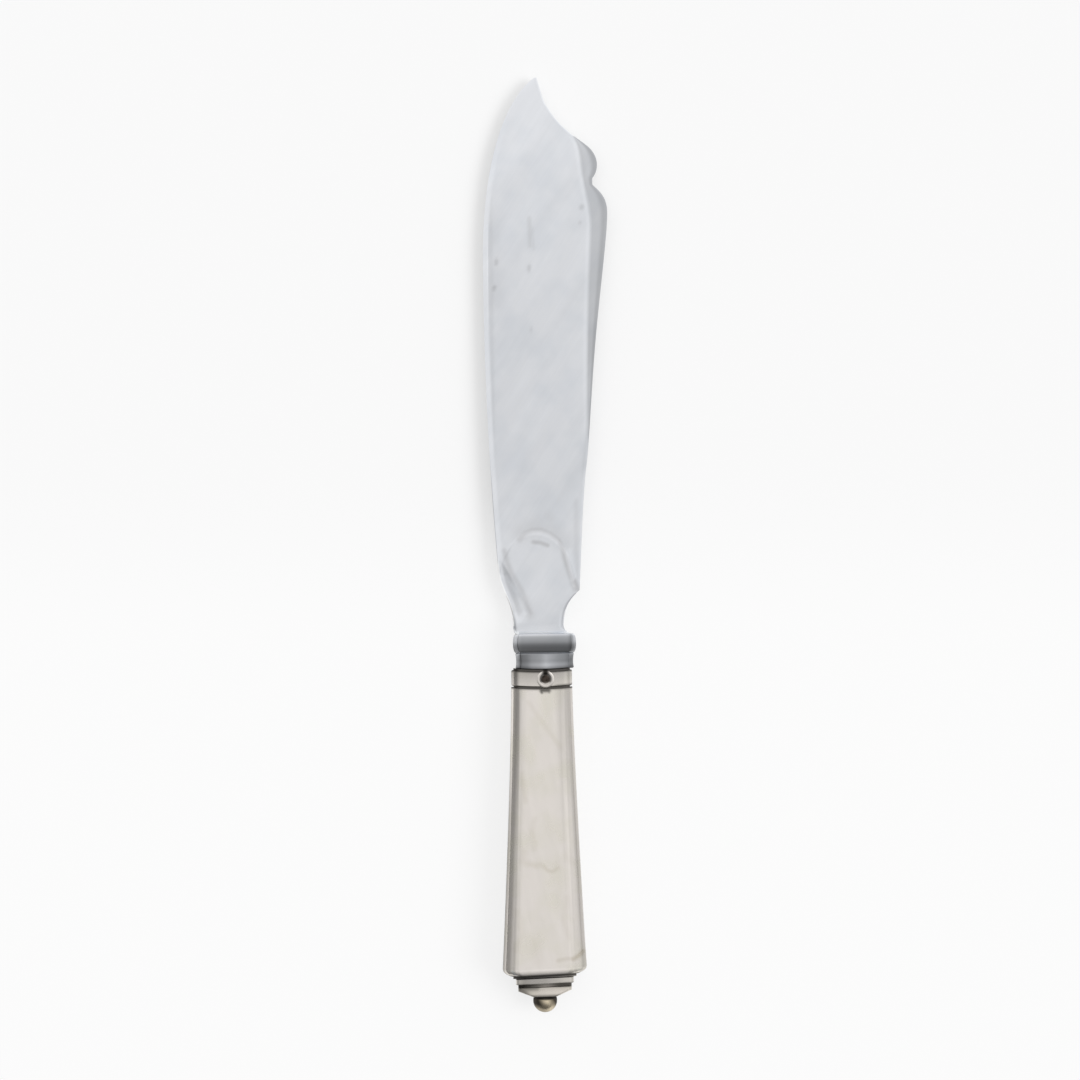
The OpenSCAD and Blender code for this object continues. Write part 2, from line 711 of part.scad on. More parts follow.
blade();
collar();
bead_ring(1);  // bead_ring_front
bead(1);  // bead_front
bead_ring(-1);  // bead_ring_back
bead(-1);  // bead_back
handle_shell(1);  // handle_front_shell
handle_shell(-1);  // handle_back_shell
handle_filler();
end_plate_large();
end_plate_small();
end_ball();
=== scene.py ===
"""Looks of a long fish knife with a notched steel blade and a hollow silver handle.

Every piece is modelled in the knife's own frame, in millimetres: y runs along the knife from the
joint between bolster and collar (0) to the tip, x points to the notched back, z to the front.
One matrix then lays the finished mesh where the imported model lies, in metres.
"""

import logging
import math
from dataclasses import dataclass, field
from enum import Enum
from functools import lru_cache
from typing import Callable, Mapping, Sequence

import bmesh
import bpy
from mathutils import Matrix, Vector


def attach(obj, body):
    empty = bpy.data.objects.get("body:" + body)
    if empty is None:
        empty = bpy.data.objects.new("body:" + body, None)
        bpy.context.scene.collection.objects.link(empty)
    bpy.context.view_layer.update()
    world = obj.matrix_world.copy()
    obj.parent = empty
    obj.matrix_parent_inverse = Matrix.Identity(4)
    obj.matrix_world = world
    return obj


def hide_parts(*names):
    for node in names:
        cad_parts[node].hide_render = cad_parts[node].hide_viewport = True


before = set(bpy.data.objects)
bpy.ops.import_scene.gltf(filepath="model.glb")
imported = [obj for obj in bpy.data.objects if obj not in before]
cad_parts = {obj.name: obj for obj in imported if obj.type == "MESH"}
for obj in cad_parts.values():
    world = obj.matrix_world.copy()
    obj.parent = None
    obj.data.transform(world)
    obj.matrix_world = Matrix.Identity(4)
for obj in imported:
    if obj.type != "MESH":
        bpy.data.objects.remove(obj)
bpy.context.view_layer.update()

MM = 0.001
# Points of one ring that lie closer than this, in millimetres, are one point
WELD = 0.0004
# Creases sharper than this stay crisp
CREASE = math.radians(24)
BODY = "root"
# Halvings that find a place on a curve
HALVINGS = 26
# No mark reaches further than this from its first point, in millimetres
MARK_REACH = 30
# What each attribute of the finishes says where a piece leaves it alone. The first scales the
# colour and carries painted light and shade; the second mixes in a darker colour, for real
# discolouring and for painted shade on the blade's root; the third mixes in the dark colour, for
# dirt and oxide in hollows and for painted shade on the ball; the fourth marks pits
ATTRIBUTES = {"tone": 1.0, "stain": 0.0, "grime": 0.0, "dots": 0.0}

# A point of a profile or a table: a place, in shares or millimetres, and what holds there
Share = tuple[float, float]
Table = tuple[Share, ...]
Line = list[Share]
# Width, thickness and length
Size = tuple[float, float, float]
log = logging.getLogger("fish_knife")


def mix(a: float, b: float, t: float) -> float:
    """Returns the value at share t of the way from a to b."""
    return a + (b - a) * t


def clamp01(t: float) -> float:
    """Returns t kept between 0 and 1."""
    return max(0.0, min(1.0, t))


def ease(t: float) -> float:
    """Returns t between 0 and 1 with a soft start and a soft end."""
    c = clamp01(t)
    return c * c * (3 - 2 * c)


def stepped(steps: int) -> list[float]:
    """Returns the shares from 0 to 1 in equal steps."""
    return [i / steps for i in range(steps + 1)]


def between(a: float, b: float, steps: int) -> list[float]:
    """Returns the values after a, up to and with b, in equal steps."""
    return [mix(a, b, t) for t in stepped(steps)[1:]]


def along(knots: Sequence[Share], at: float, blend: Callable[[float], float] = float) -> float:
    """Reads a table as a broken line.

    Args:
        knots: Places in rising order, each with its value.
        at: The place to read.
        blend: Turns the share of the way between two places into that between their values.

    Returns:
        The value there, held level beyond both ends.
    """
    if at <= knots[0][0]:
        return knots[0][1]
    for (a, low), (b, high) in zip(knots, knots[1:]):
        if at <= b:
            return mix(low, high, blend((at - a) / (b - a)))
    return knots[-1][1]


def soft(knots: Sequence[Share], at: float) -> float:
    """Reads a table as a line that bends softly at each of its places."""
    return along(knots, at, ease)


def spread(shares: Sequence[Share], steps: int) -> Table:
    """Puts equal steps between the corners of a profile, so that each corner stays a point.

    Args:
        shares: The corners.
        steps: Steps from one corner to the next.

    Returns:
        The corners with the points between them.
    """
    points = [shares[0]]
    for a, b in zip(shares, shares[1:]):
        points += zip(between(a[0], b[0], steps), between(a[1], b[1], steps))
    return tuple(points)


def round_shares(steps: int) -> Table:
    """Returns a quarter round as shares of its width and its rise."""
    return tuple((1 - math.cos(math.pi / 2 * t), math.sin(math.pi / 2 * t)) for t in stepped(steps))


def blend_shares(a: Sequence[Share], b: Sequence[Share], t: float) -> Table:
    """Returns the profile at share t of the way from profile a to profile b."""
    return tuple((mix(p[0], q[0], t), mix(p[1], q[1], t)) for p, q in zip(a, b))


class Side(Enum):
    """The face of the knife that a piece lies on."""

    FRONT = 1
    BACK = -1

    @property
    def label(self) -> str:
        """Word for the side in the pieces' names."""
        return self.name.lower()


@dataclass(frozen=True)
class Outline:
    """Joined cubic curves that only go forward.

    Args:
        points: Knots and handles in order, each as its station and its height.
    """

    points: Table

    @lru_cache(maxsize=4096)
    def at(self, y: float) -> float:
        """Reads the curves.

        Args:
            y: The station.

        Returns:
            The height there, held level beyond the ends.
        """
        points = self.points
        if y <= points[0][0]:
            return points[0][1]
        if y >= points[-1][0]:
            return points[-1][1]
        first = max(k for k in range(0, len(points) - 1, 3) if k == 0 or points[k][0] <= y)
        curve = points[first:first + 4]
        low, high = 0.0, 1.0
        for _ in range(HALVINGS):
            t = (low + high) / 2
            low, high = (t, high) if self.cubic(curve, 0, t) < y else (low, t)
        return self.cubic(curve, 1, low)

    @staticmethod
    def cubic(curve: Sequence[Share], axis: int, t: float) -> float:
        """Reads one cubic curve.

        Args:
            curve: Its two knots with their handles between them.
            axis: 0 for the station, 1 for the height.
            t: The parameter, from 0 to 1.

        Returns:
            The coordinate there.
        """
        a, b, c, d = (p[axis] for p in curve)
        s = 1 - t
        return s * s * s * a + 3 * t * s * s * b + 3 * t * t * s * c + t * t * t * d


@dataclass(frozen=True)
class Flank:
    """One side of a section: its width, its half thickness at the outer line, and its profile."""

    width: float
    foot: float
    shares: Table


def upper_line(edge: float, back: float, near: Flank, far: Flank,
               half: Callable[[float], float], steps: int) -> Line:
    """Draws the upper line of a section.

    Args:
        edge: Distance of the outer line on the side of negative x.
        back: Distance of the outer line on the side of positive x.
        near: Flank on the side of negative x.
        far: Flank on the side of positive x.
        half: Half thickness of the face between the flanks.
        steps: Steps across the face.

    Returns:
        Points as x and half thickness, from negative to positive x.
    """
    a, b = near.width - edge, back - far.width
    face = [mix(a, b, i / steps) for i in range(1, steps)]
    return (
        [(mix(-edge, a, s), mix(near.foot, half(a), t)) for s, t in near.shares]
        + [(x, half(x)) for x in face]
        + [(mix(back, b, s), mix(far.foot, half(b), t)) for s, t in reversed(far.shares)]
    )


def bar_line(w: float, t: float, flank: Flank, shift: float, steps: int) -> Line:
    """Returns the upper line of a bar that is w wide and t thick, with equal flanks."""
    return upper_line(w / 2 - shift, w / 2 + shift, flank, flank, lambda x: t / 2, steps)


def rounded_line(w: float, t: float, r: float, steps: int = 6, face: int = 24) -> Line:
    """Returns the upper line of a bar with rounded corners."""
    return bar_line(w, t, Flank(r, t / 2 - r, round_shares(steps)), 0, face)


def ring(line: Line, y: float) -> list[Vector]:
    """Closes a section.

    Args:
        line: Its upper line.
        y: Its station.

    Returns:
        The upper line, the same line underneath, and the first point again.
    """
    over = [Vector((x, y, z)) for x, z in line]
    under = [Vector((x, y, -z)) for x, z in reversed(line)]
    return over + under + [over[0].copy()]


def sheet(rows: Sequence[Sequence[Vector]]) -> bmesh.types.BMesh:
    """Bends a grid so that its rows follow the given lines of points.

    Args:
        rows: Lines with equally many points.

    Returns:
        The mesh, with coinciding points welded.
    """
    bm = bmesh.new()
    bmesh.ops.create_grid(bm, x_segments=len(rows[0]) - 1, y_segments=len(rows) - 1, size=1)
    for vert, point in zip(bm.verts, [p for row in rows for p in row]):
        vert.co = point
    bmesh.ops.remove_doubles(bm, verts=bm.verts, dist=WELD)
    return bm


def tube(rows: Sequence[Sequence[Vector]]) -> bmesh.types.BMesh:
    """Joins closed sections into a solid.

    Args:
        rows: Sections with equally many points, in order.

    Returns:
        The mesh, with its open ends filled.
    """
    bm = sheet(rows)
    rim = [e for e in bm.edges if e.is_boundary]
    bmesh.ops.holes_fill(bm, edges=rim, sides=0)
    return bm


@dataclass(frozen=True)
class Stroke:
    """A mark that was left on a surface.

    Args:
        points: Its line, each point as x and y in millimetres.
        width: Half of its width, in millimetres.
        strength: How strong it is in the middle, from 0 to 1.
    """

    points: Table
    width: float
    strength: float

    def at(self, x: float, y: float) -> float:
        """Reads the mark.

        Args:
            x: The place across the knife.
            y: The place along it.

        Returns:
            How strongly the mark shows there.
        """
        if abs(y - self.points[0][1]) >= MARK_REACH:
            return 0.0
        near = min(self.gap(a, b, x, y) for a, b in zip(self.points, self.points[1:]))
        return self.strength * ease(1 - near / self.width)

    @staticmethod
    def gap(a: Share, b: Share, x: float, y: float) -> float:
        """Measures how far a place lies from a straight stretch.

        Args:
            a: One end of the stretch.
            b: The other end.
            x: The place across the knife.
            y: The place along it.

        Returns:
            The distance, in millimetres.
        """
        dx, dy = b[0] - a[0], b[1] - a[1]
        t = clamp01(((x - a[0]) * dx + (y - a[1]) * dy) / max(dx * dx + dy * dy, WELD))
        return math.hypot(x - a[0] - t * dx, y - a[1] - t * dy)


def marks(strokes: Sequence[Stroke], x: float, y: float) -> float:
    """Returns the strongest of some marks at a place."""
    return max((s.at(x, y) for s in strokes), default=0.0)


def on_front(strokes: Sequence[Stroke]) -> Callable[[Vector], float]:
    """Returns what some marks on the front say at a point of a piece."""
    return lambda p: marks(strokes, p.x, p.y) if p.z > 0 else 0.0


@dataclass(frozen=True)
class Rest:
    """How the knife lies: turned by half the taper of its handle, flat on the handle's back."""

    taper: float = 2.2
    taper_l: float = 80.8
    front_half_t: float = 5.4
    collar_l: float = 5.5
    centre_x: float = 2.35
    mid_y: float = 35.75

    @property
    def tilt(self) -> float:
        """Angle by which the tip dips towards the table."""
        return math.atan(self.taper / 2 / self.taper_l)

    @property
    def lift(self) -> float:
        """Height of the knife's own origin over the table."""
        return self.front_half_t * math.cos(self.tilt) - self.collar_l * math.sin(self.tilt)

    @property
    def centre_y(self) -> float:
        """Middle of the knife's length as it lies."""
        return self.mid_y * math.cos(self.tilt)

    def matrix(self) -> Matrix:
        """Returns the move from the knife's own frame, in millimetres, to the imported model's."""
        shift = Matrix.Translation(Vector((-self.centre_x, -self.centre_y, self.lift)) * MM)
        return shift @ Matrix.Rotation(-self.tilt, 4, "X") @ Matrix.Scale(MM, 4)


REST = Rest()


@dataclass(frozen=True)
class HandWork:
    """Small unevenness of a handmade knife, the same for all pieces that meet.

    Args:
        bow: How far the collar's lines dip in the middle, in millimetres.
        bow_half_w: Half of the collar's width.
        bow_fade: Stations between which the bow grows and fades, with its share there.
        skew: Slope of the lines at the handle's end, by station.
        skew_end: Station behind which nothing slopes.
        drift: How far those lines sit towards the blade, by station.
    """

    bow: float = 0.45
    bow_half_w: float = 8.75
    bow_fade: Table = ((-10, 0), (-5.6, 1), (0.1, 1), (4.4, 0))
    skew: Table = ((-94.5, 0.02), (-91.5, 0.035), (-88.9, 0.042), (-78, 0))
    skew_end: float = -94.6
    drift: Table = (
        (-94.5, 0), (-91.9, 0.2), (-91.0, 0.3), (-89.5, 0.5), (-88.7, 0.6), (-86, 0.35), (-78, 0),
    )

    def bend(self, p: Vector) -> Vector:
        """Moves a point of the true form to the handmade one.

        Args:
            p: The point, in the knife's own frame.

        Returns:
            Where it lies by hand.
        """
        middle = max(0.0, 1 - (p.x / self.bow_half_w) ** 2)
        dip = self.bow * middle * along(self.bow_fade, p.y)
        slope = along(self.skew, p.y) if p.y > self.skew_end else 0.0
        return Vector((p.x, p.y - dip + along(self.drift, p.y) + slope * p.x, p.z))


HAND = HandWork()


def to_linear(hex_colour: str) -> tuple[float, float, float, float]:
    """Turns an sRGB hex value such as "#d0d2d6" into linear light."""
    parts = [int(hex_colour[i:i + 2], 16) / 255 for i in (1, 3, 5)]
    return (*[c / 12.92 if c <= 0.04045 else ((c + 0.055) / 1.055) ** 2.4 for c in parts], 1.0)


def add(tree: bpy.types.NodeTree, kind: str, inputs: Mapping[int | str, object] | None = None,
        **settings: object) -> bpy.types.bpy_prop_collection:
    """Adds a node.

    Args:
        tree: The node tree that it goes into.
        kind: Its type after "ShaderNode", such as "Math".
        inputs: For each input, by name or number, a value, a hex colour or the socket to link.
        **settings: Its own settings.

    Returns:
        Its outputs.
    """
    node = tree.nodes.new("ShaderNode" + kind)
    for key, value in settings.items():
        setattr(node, key, value)
    for key, value in (inputs or {}).items():
        if isinstance(value, bpy.types.NodeSocket):
            tree.links.new(value, node.inputs[key])
        else:
            node.inputs[key].default_value = to_linear(value) if isinstance(value, str) else value
    return node.outputs


def empty_tree(owner: bpy.types.Material | bpy.types.World) -> bpy.types.NodeTree:
    """Clears the nodes of a material or a world.

    Args:
        owner: The material or the world.

    Returns:
        Its node tree, without a node.
    """
    owner.use_nodes = True
    owner.node_tree.nodes.clear()
    return owner.node_tree


# For the inputs of Map Range: the values of a noise between which a pattern rises
PATCHES = {1: 0.42, 2: 0.68}
STREAKS = {1: 0.3, 2: 0.7}
WEAR = {1: 0.35, 2: 0.7}
RARE = {1: 0.72, 2: 0.95}
# Roughness of worn metal against its clean roughness, where it wears least and most
WEAR_SHARES = (0.94, 1.08)
DIRT_ROUGHNESS = 0.35
# Hairlines are the streaks again, this many times as fine across, along and across
HAIR_SCALE = (12, 1.2, 12)
# Heights of clouds and pits against the hairlines
CLOUD_HEIGHT = 1.5
PIT_HEIGHT = -3
BUMP_STRENGTH = 0.6


@dataclass(frozen=True)
class AgedMetal:
    """A polished metal with the marks of long use: what steel and silver here have in common.

    Args:
        name: Name of the material.
        clean: Colour of the polished metal.
        aged: Colour of its clouded patches.
        stain: Colour of its discolouring, also mixed in as painted shade.
        grime: Colour of the dirt and oxide in its recesses, also mixed in as painted shade.
        roughness: Roughness of the clean metal.
        cloud: Size of the clouded patches, in millimetres.
        streak: Width and length of the polishing streaks, in millimetres.
        streak_turn: Turn of the streaks from the knife's length, in degrees.
        streak_depth: How much the streaks change the tone.
        pit: Spacing of the pits, in millimetres.
        pit_size: Size of a pit, as a share of that spacing.
        relief: Height of the bumps, in millimetres.
    """

    name: str
    clean: str
    aged: str
    stain: str
    grime: str
    roughness: float
    cloud: float
    streak: tuple[float, float]
    streak_turn: float
    streak_depth: float
    pit: float
    pit_size: float
    relief: float

    def build(self) -> bpy.types.Material:
        """Makes the material from object coordinates and the pieces' own attributes.

        Returns:
            The material.
        """
        material = bpy.data.materials.new(self.name)
        tree = empty_tree(material)
        place = add(tree, "TexCoord")["Object"]
        # One unit of this pattern space is a millimetre
        mm = add(tree, "Mapping", {"Vector": place, "Scale": (1 / MM,) * 3})[0]
        wide, long = self.streak
        turn = (0, 0, math.radians(self.streak_turn))
        turned = add(tree, "Mapping", {"Vector": mm, "Rotation": turn})[0]
        drawn = add(tree, "Mapping", {"Vector": turned, "Scale": (1 / wide, 1 / long, 1 / wide)})[0]
        fine = add(tree, "Mapping", {"Vector": drawn, "Scale": HAIR_SCALE})[0]
        cloud = add(tree, "TexNoise", {"Vector": mm, "Scale": 1 / self.cloud, "Detail": 2})[0]
        streak = add(tree, "TexNoise", {
            "Vector": drawn, "Scale": 1, "Detail": 3, "Roughness": 0.55,
        })[0]
        hair = add(tree, "TexNoise", {"Vector": fine, "Scale": 1, "Detail": 4})[0]
        cells = add(tree, "TexVoronoi", {"Vector": mm, "Scale": 1 / self.pit, "Randomness": 1})
        deep = add(tree, "MapRange", {
            "Value": cells["Distance"], 1: self.pit_size, 2: self.pit_size / 3,
        })[0]
        chance = add(tree, "SeparateColor", {0: cells["Color"]})[0]
        rare = add(tree, "MapRange", {"Value": chance} | RARE)[0]
        pit = add(tree, "Math", {0: deep, 1: rare}, operation="MULTIPLY")[0]
        tone, stain, grime, dots = (
            add(tree, "Attribute", attribute_name=name)["Fac"] for name in ATTRIBUTES
        )
        colour = add(tree, "MapRange", {"Value": cloud} | PATCHES)[0]
        colour = add(tree, "Mix", {0: colour, 6: self.clean, 7: self.aged}, data_type="RGBA")[2]
        colour = add(tree, "Mix", {0: stain, 6: colour, 7: self.stain}, data_type="RGBA")[2]
        shade = tone
        for noise, depth in ((streak, self.streak_depth), (hair, self.streak_depth / 3)):
            drift = add(tree, "MapRange", {"Value": noise, 3: 1 - depth, 4: 1 + depth} | STREAKS)[0]
            shade = add(tree, "Math", {0: shade, 1: drift}, operation="MULTIPLY")[0]
        colour = add(tree, "VectorMath", {0: colour, 3: shade}, operation="SCALE")[0]
        spots = add(tree, "Math", {0: pit, 1: dots}, operation="MAXIMUM")[0]
        dirt = add(tree, "Math", {0: grime, 1: spots}, operation="MAXIMUM", use_clamp=True)[0]
        colour = add(tree, "Mix", {0: dirt, 6: colour, 7: self.grime}, data_type="RGBA")[2]
        least, most = (self.roughness * share for share in WEAR_SHARES)
        wear_and_sheen = add(tree, "MapRange", {"Value": cloud, 3: least, 4: most} | WEAR)[0]
        rough = add(tree, "Math", {0: dirt, 1: DIRT_ROUGHNESS, 2: wear_and_sheen},
                    operation="MULTIPLY_ADD", use_clamp=True)[0]
        height = hair
        for pattern, rise in ((cloud, CLOUD_HEIGHT), (spots, PIT_HEIGHT)):
            height = add(tree, "Math", {0: pattern, 1: rise, 2: height},
                         operation="MULTIPLY_ADD")[0]
        bump = add(tree, "Bump", {
            "Height": height, "Strength": BUMP_STRENGTH, "Distance": self.relief * MM,
        })[0]
        shader = add(tree, "BsdfPrincipled", {
            "Base Color": colour, "Roughness": rough, "Normal": bump, "Metallic": 1.0,
        })[0]
        add(tree, "OutputMaterial", {0: shader})
        return material


@dataclass(frozen=True)
class ForgedSteel(AgedMetal):
    """Carbon steel, ground and polished by hand: cool grey, satin, with diagonal wiping streaks."""

    name: str = "forged_steel"
    clean: str = "#e6e8ec"
    aged: str = "#e0e3e8"
    stain: str = "#8f8b88"
    grime: str = "#5d5b5a"
    roughness: float = 0.3
    cloud: float = 9
    streak: tuple[float, float] = (5.5, 34)
    streak_turn: float = 33
    streak_depth: float = 0.03
    pit: float = 9
    pit_size: float = 0.03
    relief: float = 0.003


@dataclass(frozen=True)
class TarnishedSilver(AgedMetal):
    """Stamped silver, polished often: warm and pale, with soft dents and brownish clouds."""

    name: str = "tarnished_silver"
    clean: str = "#ece6e0"
    aged: str = "#e8e3d9"
    stain: str = "#a89a7b"
    grime: str = "#34312e"
    roughness: float = 0.26
    cloud: float = 7
    streak: tuple[float, float] = (2.5, 16)
    streak_turn: float = -12
    streak_depth: float = 0.02
    pit: float = 6
    pit_size: float = 0.035
    relief: float = 0.004


@dataclass(frozen=True)
class OxidisedSilver(AgedMetal):
    """Silver blackened by sulphide, rubbed bare on its crown: nearly black and dull."""

    name: str = "oxidised_silver"
    clean: str = "#4a423c"
    aged: str = "#2f2a26"
    stain: str = "#b5aca3"
    grime: str = "#1d1a18"
    roughness: float = 0.42
    cloud: float = 0.8
    streak: tuple[float, float] = (0.2, 0.6)
    streak_turn: float = 15
    streak_depth: float = 0.1
    pit: float = 0.6
    pit_size: float = 0.1
    relief: float = 0.01


@dataclass(frozen=True)
class SetCement:
    """Rosin and brick-dust cement, poured hot and set: a matte buff body with sandy grains."""

    name: str = "set_cement"
    body: str = "#b9a98f"
    grain: str = "#8e7a60"
    grain_size: float = 0.6
    grain_height: float = 0.05
    roughness: float = 0.85

    def build(self) -> bpy.types.Material:
        """Makes the material.

        Returns:
            The material.
        """
        material = bpy.data.materials.new(self.name)
        tree = empty_tree(material)
        place = add(tree, "TexCoord")["Object"]
        grains = add(tree, "TexNoise", {
            "Vector": place, "Scale": 1 / (self.grain_size * MM), "Detail": 4,
        })[0]
        colour = add(tree, "Mix", {0: grains, 6: self.body, 7: self.grain}, data_type="RGBA")[2]
        bump = add(tree, "Bump", {
            "Height": grains, "Strength": 0.5, "Distance": self.grain_height * MM,
        })[0]
        shader = add(tree, "BsdfPrincipled", {
            "Base Color": colour, "Roughness": self.roughness, "Normal": bump,
        })[0]
        add(tree, "OutputMaterial", {0: shader})
        return material


@dataclass
class Finishes:
    """The knife's finishes, made once, each under the record's material slot."""

    by_slot: dict[str, bpy.types.Material] = field(default_factory=lambda: {
        "blade_steel": ForgedSteel().build(), "silver": TarnishedSilver().build(),
        "oxidised_silver": OxidisedSilver().build(), "cement": SetCement().build(),
    })

    def lay(self, bm: bmesh.types.BMesh, node: str, slot: str,
            **paint: float | Callable[[Vector], float]) -> None:
        """Turns a mesh in the knife's own frame into the finished piece that stands for a node.

        Args:
            bm: The mesh, in millimetres, with its doubles merged.
            node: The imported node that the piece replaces.
            slot: The record's material slot.
            **paint: For attributes of the finish, the value or what gives it at a point.
        """
        bmesh.ops.recalc_face_normals(bm, faces=bm.faces)
        for name, plain in ATTRIBUTES.items():
            value = paint.get(name, plain)
            layer = bm.verts.layers.float.new(name)
            for vert in bm.verts:
                vert[layer] = value(vert.co) if callable(value) else value
        for vert in bm.verts:
            vert.co = HAND.bend(vert.co)
        bmesh.ops.transform(bm, matrix=REST.matrix(), verts=bm.verts)
        mesh = bpy.data.meshes.new(node + "_mesh")
        bm.to_mesh(mesh)
        bm.free()
        mesh.shade_smooth()
        mesh.set_sharp_from_angle(angle=CREASE)
        mesh.materials.append(self.by_slot[slot])
        piece = bpy.data.objects.new(node + "_look", mesh)
        bpy.context.scene.collection.objects.link(piece)
        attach(piece, BODY)
        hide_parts(node)
        log.info("%s: %d points, %d faces", piece.name, len(mesh.vertices), len(mesh.polygons))


@dataclass
class Blade:
    """The steel forging: blade, raised root, neck, two-tier bolster and hidden tang.

    The sizes are in millimetres. The curves are shares of the blade's length and of its reach.
    A table of tones or shades, which are painted light and shade, holds places in millimetres, each
    with what holds there.
    """

    length: float = 148.4
    edge_reach: float = 15.7
    back_reach: float = 20.4
    heel_t: float = 1.7
    tip_t: float = 1.0
    tip_w: float = 0.7
    edge_t: float = 0.5
    edge_bevel_w: float = 1.2
    back_t: float = 0.7
    back_ease_w: float = 0.4
    neck_l: float = 12.5
    neck_w: float = 14.6
    neck_t: float = 3.4
    neck_shift: float = 0.8
    neck_side_t: float = 1.2
    neck_round_w: float = 1.5
    root_l: float = 17.6
    root_arch_w: float = 11.4
    root_rise: float = 0.3
    root_shift: float = 1.2
    root_runout: float = 2.0
    root_side_w: float = 0.9
    root_fade_w: float = 3.0
    root_side_shares: Table = ((0, 1.04), (0.07, 0.91), (0.35, 0.8), (0.69, 0.71))
    root_bevel_d: float = 0.7
    root_bevel_w: float = 3.2
    roll_l: float = 5.5
    roll_w: float = 18.2
    roll_t: float = 9.8
    groove_d: float = 0.3
    band_l: float = 4.4
    band_w: float = 16.9
    band_t: float = 9.0
    band_waist: float = 0.25
    side_w: float = 1.5
    side_d: float = 2.6
    cove_l: float = 2.4
    bolster_shift: float = 0.9
    tang_l: float = 62.0
    tang: tuple[Share, Share] = ((7.0, 4.6), (4.0, 2.6))
    tang_flank_shares: Share = (0.1, 0.4)
    seat_lip: float = 0.25
    roll_power: float = 0.8
    edge_handle_share: float = 0.8
    heel_handle_shares: tuple[float, float, float] = (0.5, 0.75, 0.4)
    neck_fade_share: float = 0.3
    bevel_most_share: float = 0.4
    foot_share: float = 0.9
    flank_foot_share: float = 0.2
    flank_start_share: float = 0.4
    flank_end_share: float = 0.64
    edge_face_share: float = 0.55
    full_bevel_share: float = 0.24
    edge_shares: Table = (
        (0.058, 0.785), (0.267, 0.945), (0.450, 1.000),
        (0.640, 1.000), (0.840, 1.000), (0.960, 0.540), (1, 0),
    )
    back_shares: Table = (
        (0, 0.542), (0.078, 0.574), (0.173, 0.600), (0.233, 0.650),
        (0.275, 0.702), (0.375, 0.735), (0.467, 0.799),
        (0.550, 0.850), (0.690, 1.000), (0.735, 1.000),
        (0.765, 1.000), (0.776, 0.900), (0.790, 0.789),
        (0.794, 0.789), (0.799, 0.789), (0.803, 0.789),
        (0.816, 0.880), (0.846, 0.912), (0.868, 0.701),
        (0.890, 0.492), (0.901, 0.320), (0.953, 0.105),
        (0.968, 0.070), (0.984, 0.035), (1, 0),
    )
    bevel_shares: Table = (
        (0.250, 0.697), (0.361, 0.667), (0.523, 0.690), (0.698, 0.755),
        (0.745, 0.772), (0.779, 0.662), (0.840, 0.622),
        (0.856, 0.608), (0.873, 0.588), (0.885, 0.510),
    )
    bevel_section: Table = ((0, 0), (0.1, 0.35), (0.5, 0.64), (1, 1))
    bolster_section: Table = ((0, 0), (0.35, 0.5), (0.85, 0.94), (1, 1))
    flank_steps: int = 4
    face_steps: int = 62
    band_steps: int = 14
    roll_steps: int = 26
    cove_steps: int = 14
    neck_steps: int = 26
    root_steps: int = 62
    body_steps: int = 110
    point_steps: int = 90
    point_l: float = 38.0
    # Painted light and shade on the bolster: its tone by station, then across the band and across
    # the roll
    bolster_tones: Table = (
        (0.1, 0.26), (0.55, 0.4), (0.95, 0.6), (1.3, 0.71), (2.3, 0.54), (3.4, 0.73), (4.0, 0.85),
        (4.4, 0.7), (4.7, 0.32), (5.2, 0.21), (5.8, 0.17), (6.4, 0.187), (6.9, 0.245), (7.5, 0.375),
        (8.1, 0.445), (8.9, 0.49), (9.3, 0.6), (9.5, 0.77), (9.8, 1.0), (10.1, 1.3), (10.4, 1.24),
        (10.7, 1.12), (11.0, 0.97), (11.3, 0.86), (11.6, 0.79), (11.9, 0.84), (12.4, 0.94),
    )
    band_tones: Table = (
        (-8.0, 1.3), (-7.4, 1.15), (-6.8, 0.65), (-6.2, 0.28), (-5.3, 0.4), (-4.2, 0.48),
        (-2.8, 0.7), (-0.5, 0.82), (1.3, 1.08), (3.0, 0.9), (4.8, 0.74), (6.5, 0.66), (7.6, 0.52),
        (8.5, 0.38),
    )
    roll_tones: Table = (
        (-8.3, 2.2), (-7.9, 1.9), (-7.3, 1.6), (-7.0, 1.42), (-6.4, 1.14), (-5.5, 1.02),
        (7.5, 0.97), (8.5, 0.7), (9.1, 1.15), (9.5, 1.6),
    )
    # Painted light and shade along the blade: its tone by station
    blade_tones: Table = (
        (12.3, 0.94), (18, 0.93), (28, 0.99), (40, 0.98), (54, 0.95), (77, 0.96), (97, 0.96),
        (127, 0.99), (140, 1.0), (155, 1.06),
    )
    # Changes of tone by station, each with how far it reaches from its own line: painted highlights
    # along the edge and its rim, painted shade on the swage and along the back, and where the
    # bevel's lobe is painted
    edge_highlight: Table = ((14, 0.06), (20, 0.1), (30, 0.1), (38, 0.13), (140, 0.1), (160, 0.0))
    edge_highlight_reach: Table = ((0.9, 1), (1.9, 0))
    rim_highlight: Table = ((12.3, 0.5), (16, 0.7), (24, 0.6), (30, 0.15), (36, 0.0))
    rim_highlight_reach: Table = ((0.15, 1), (0.55, 0))
    swage_tones: Table = ((80, 1.0), (88, 0.92), (93, 0.9), (99, 0.96), (107, 1.0))
    swage_reach: Table = ((0, 0), (0.6, 1))
    lobe: Table = ((140, 0), (144, 1))
    back_shade: Table = ((53, 0.0), (59, 0.09), (66, 0.1), (74, 0.0))
    back_shade_reach: Table = ((-0.38, 0), (0.32, 1), (0.88, 1), (1.58, 0))
    joint_reach: Table = ((0, 0), (0.6, 1))
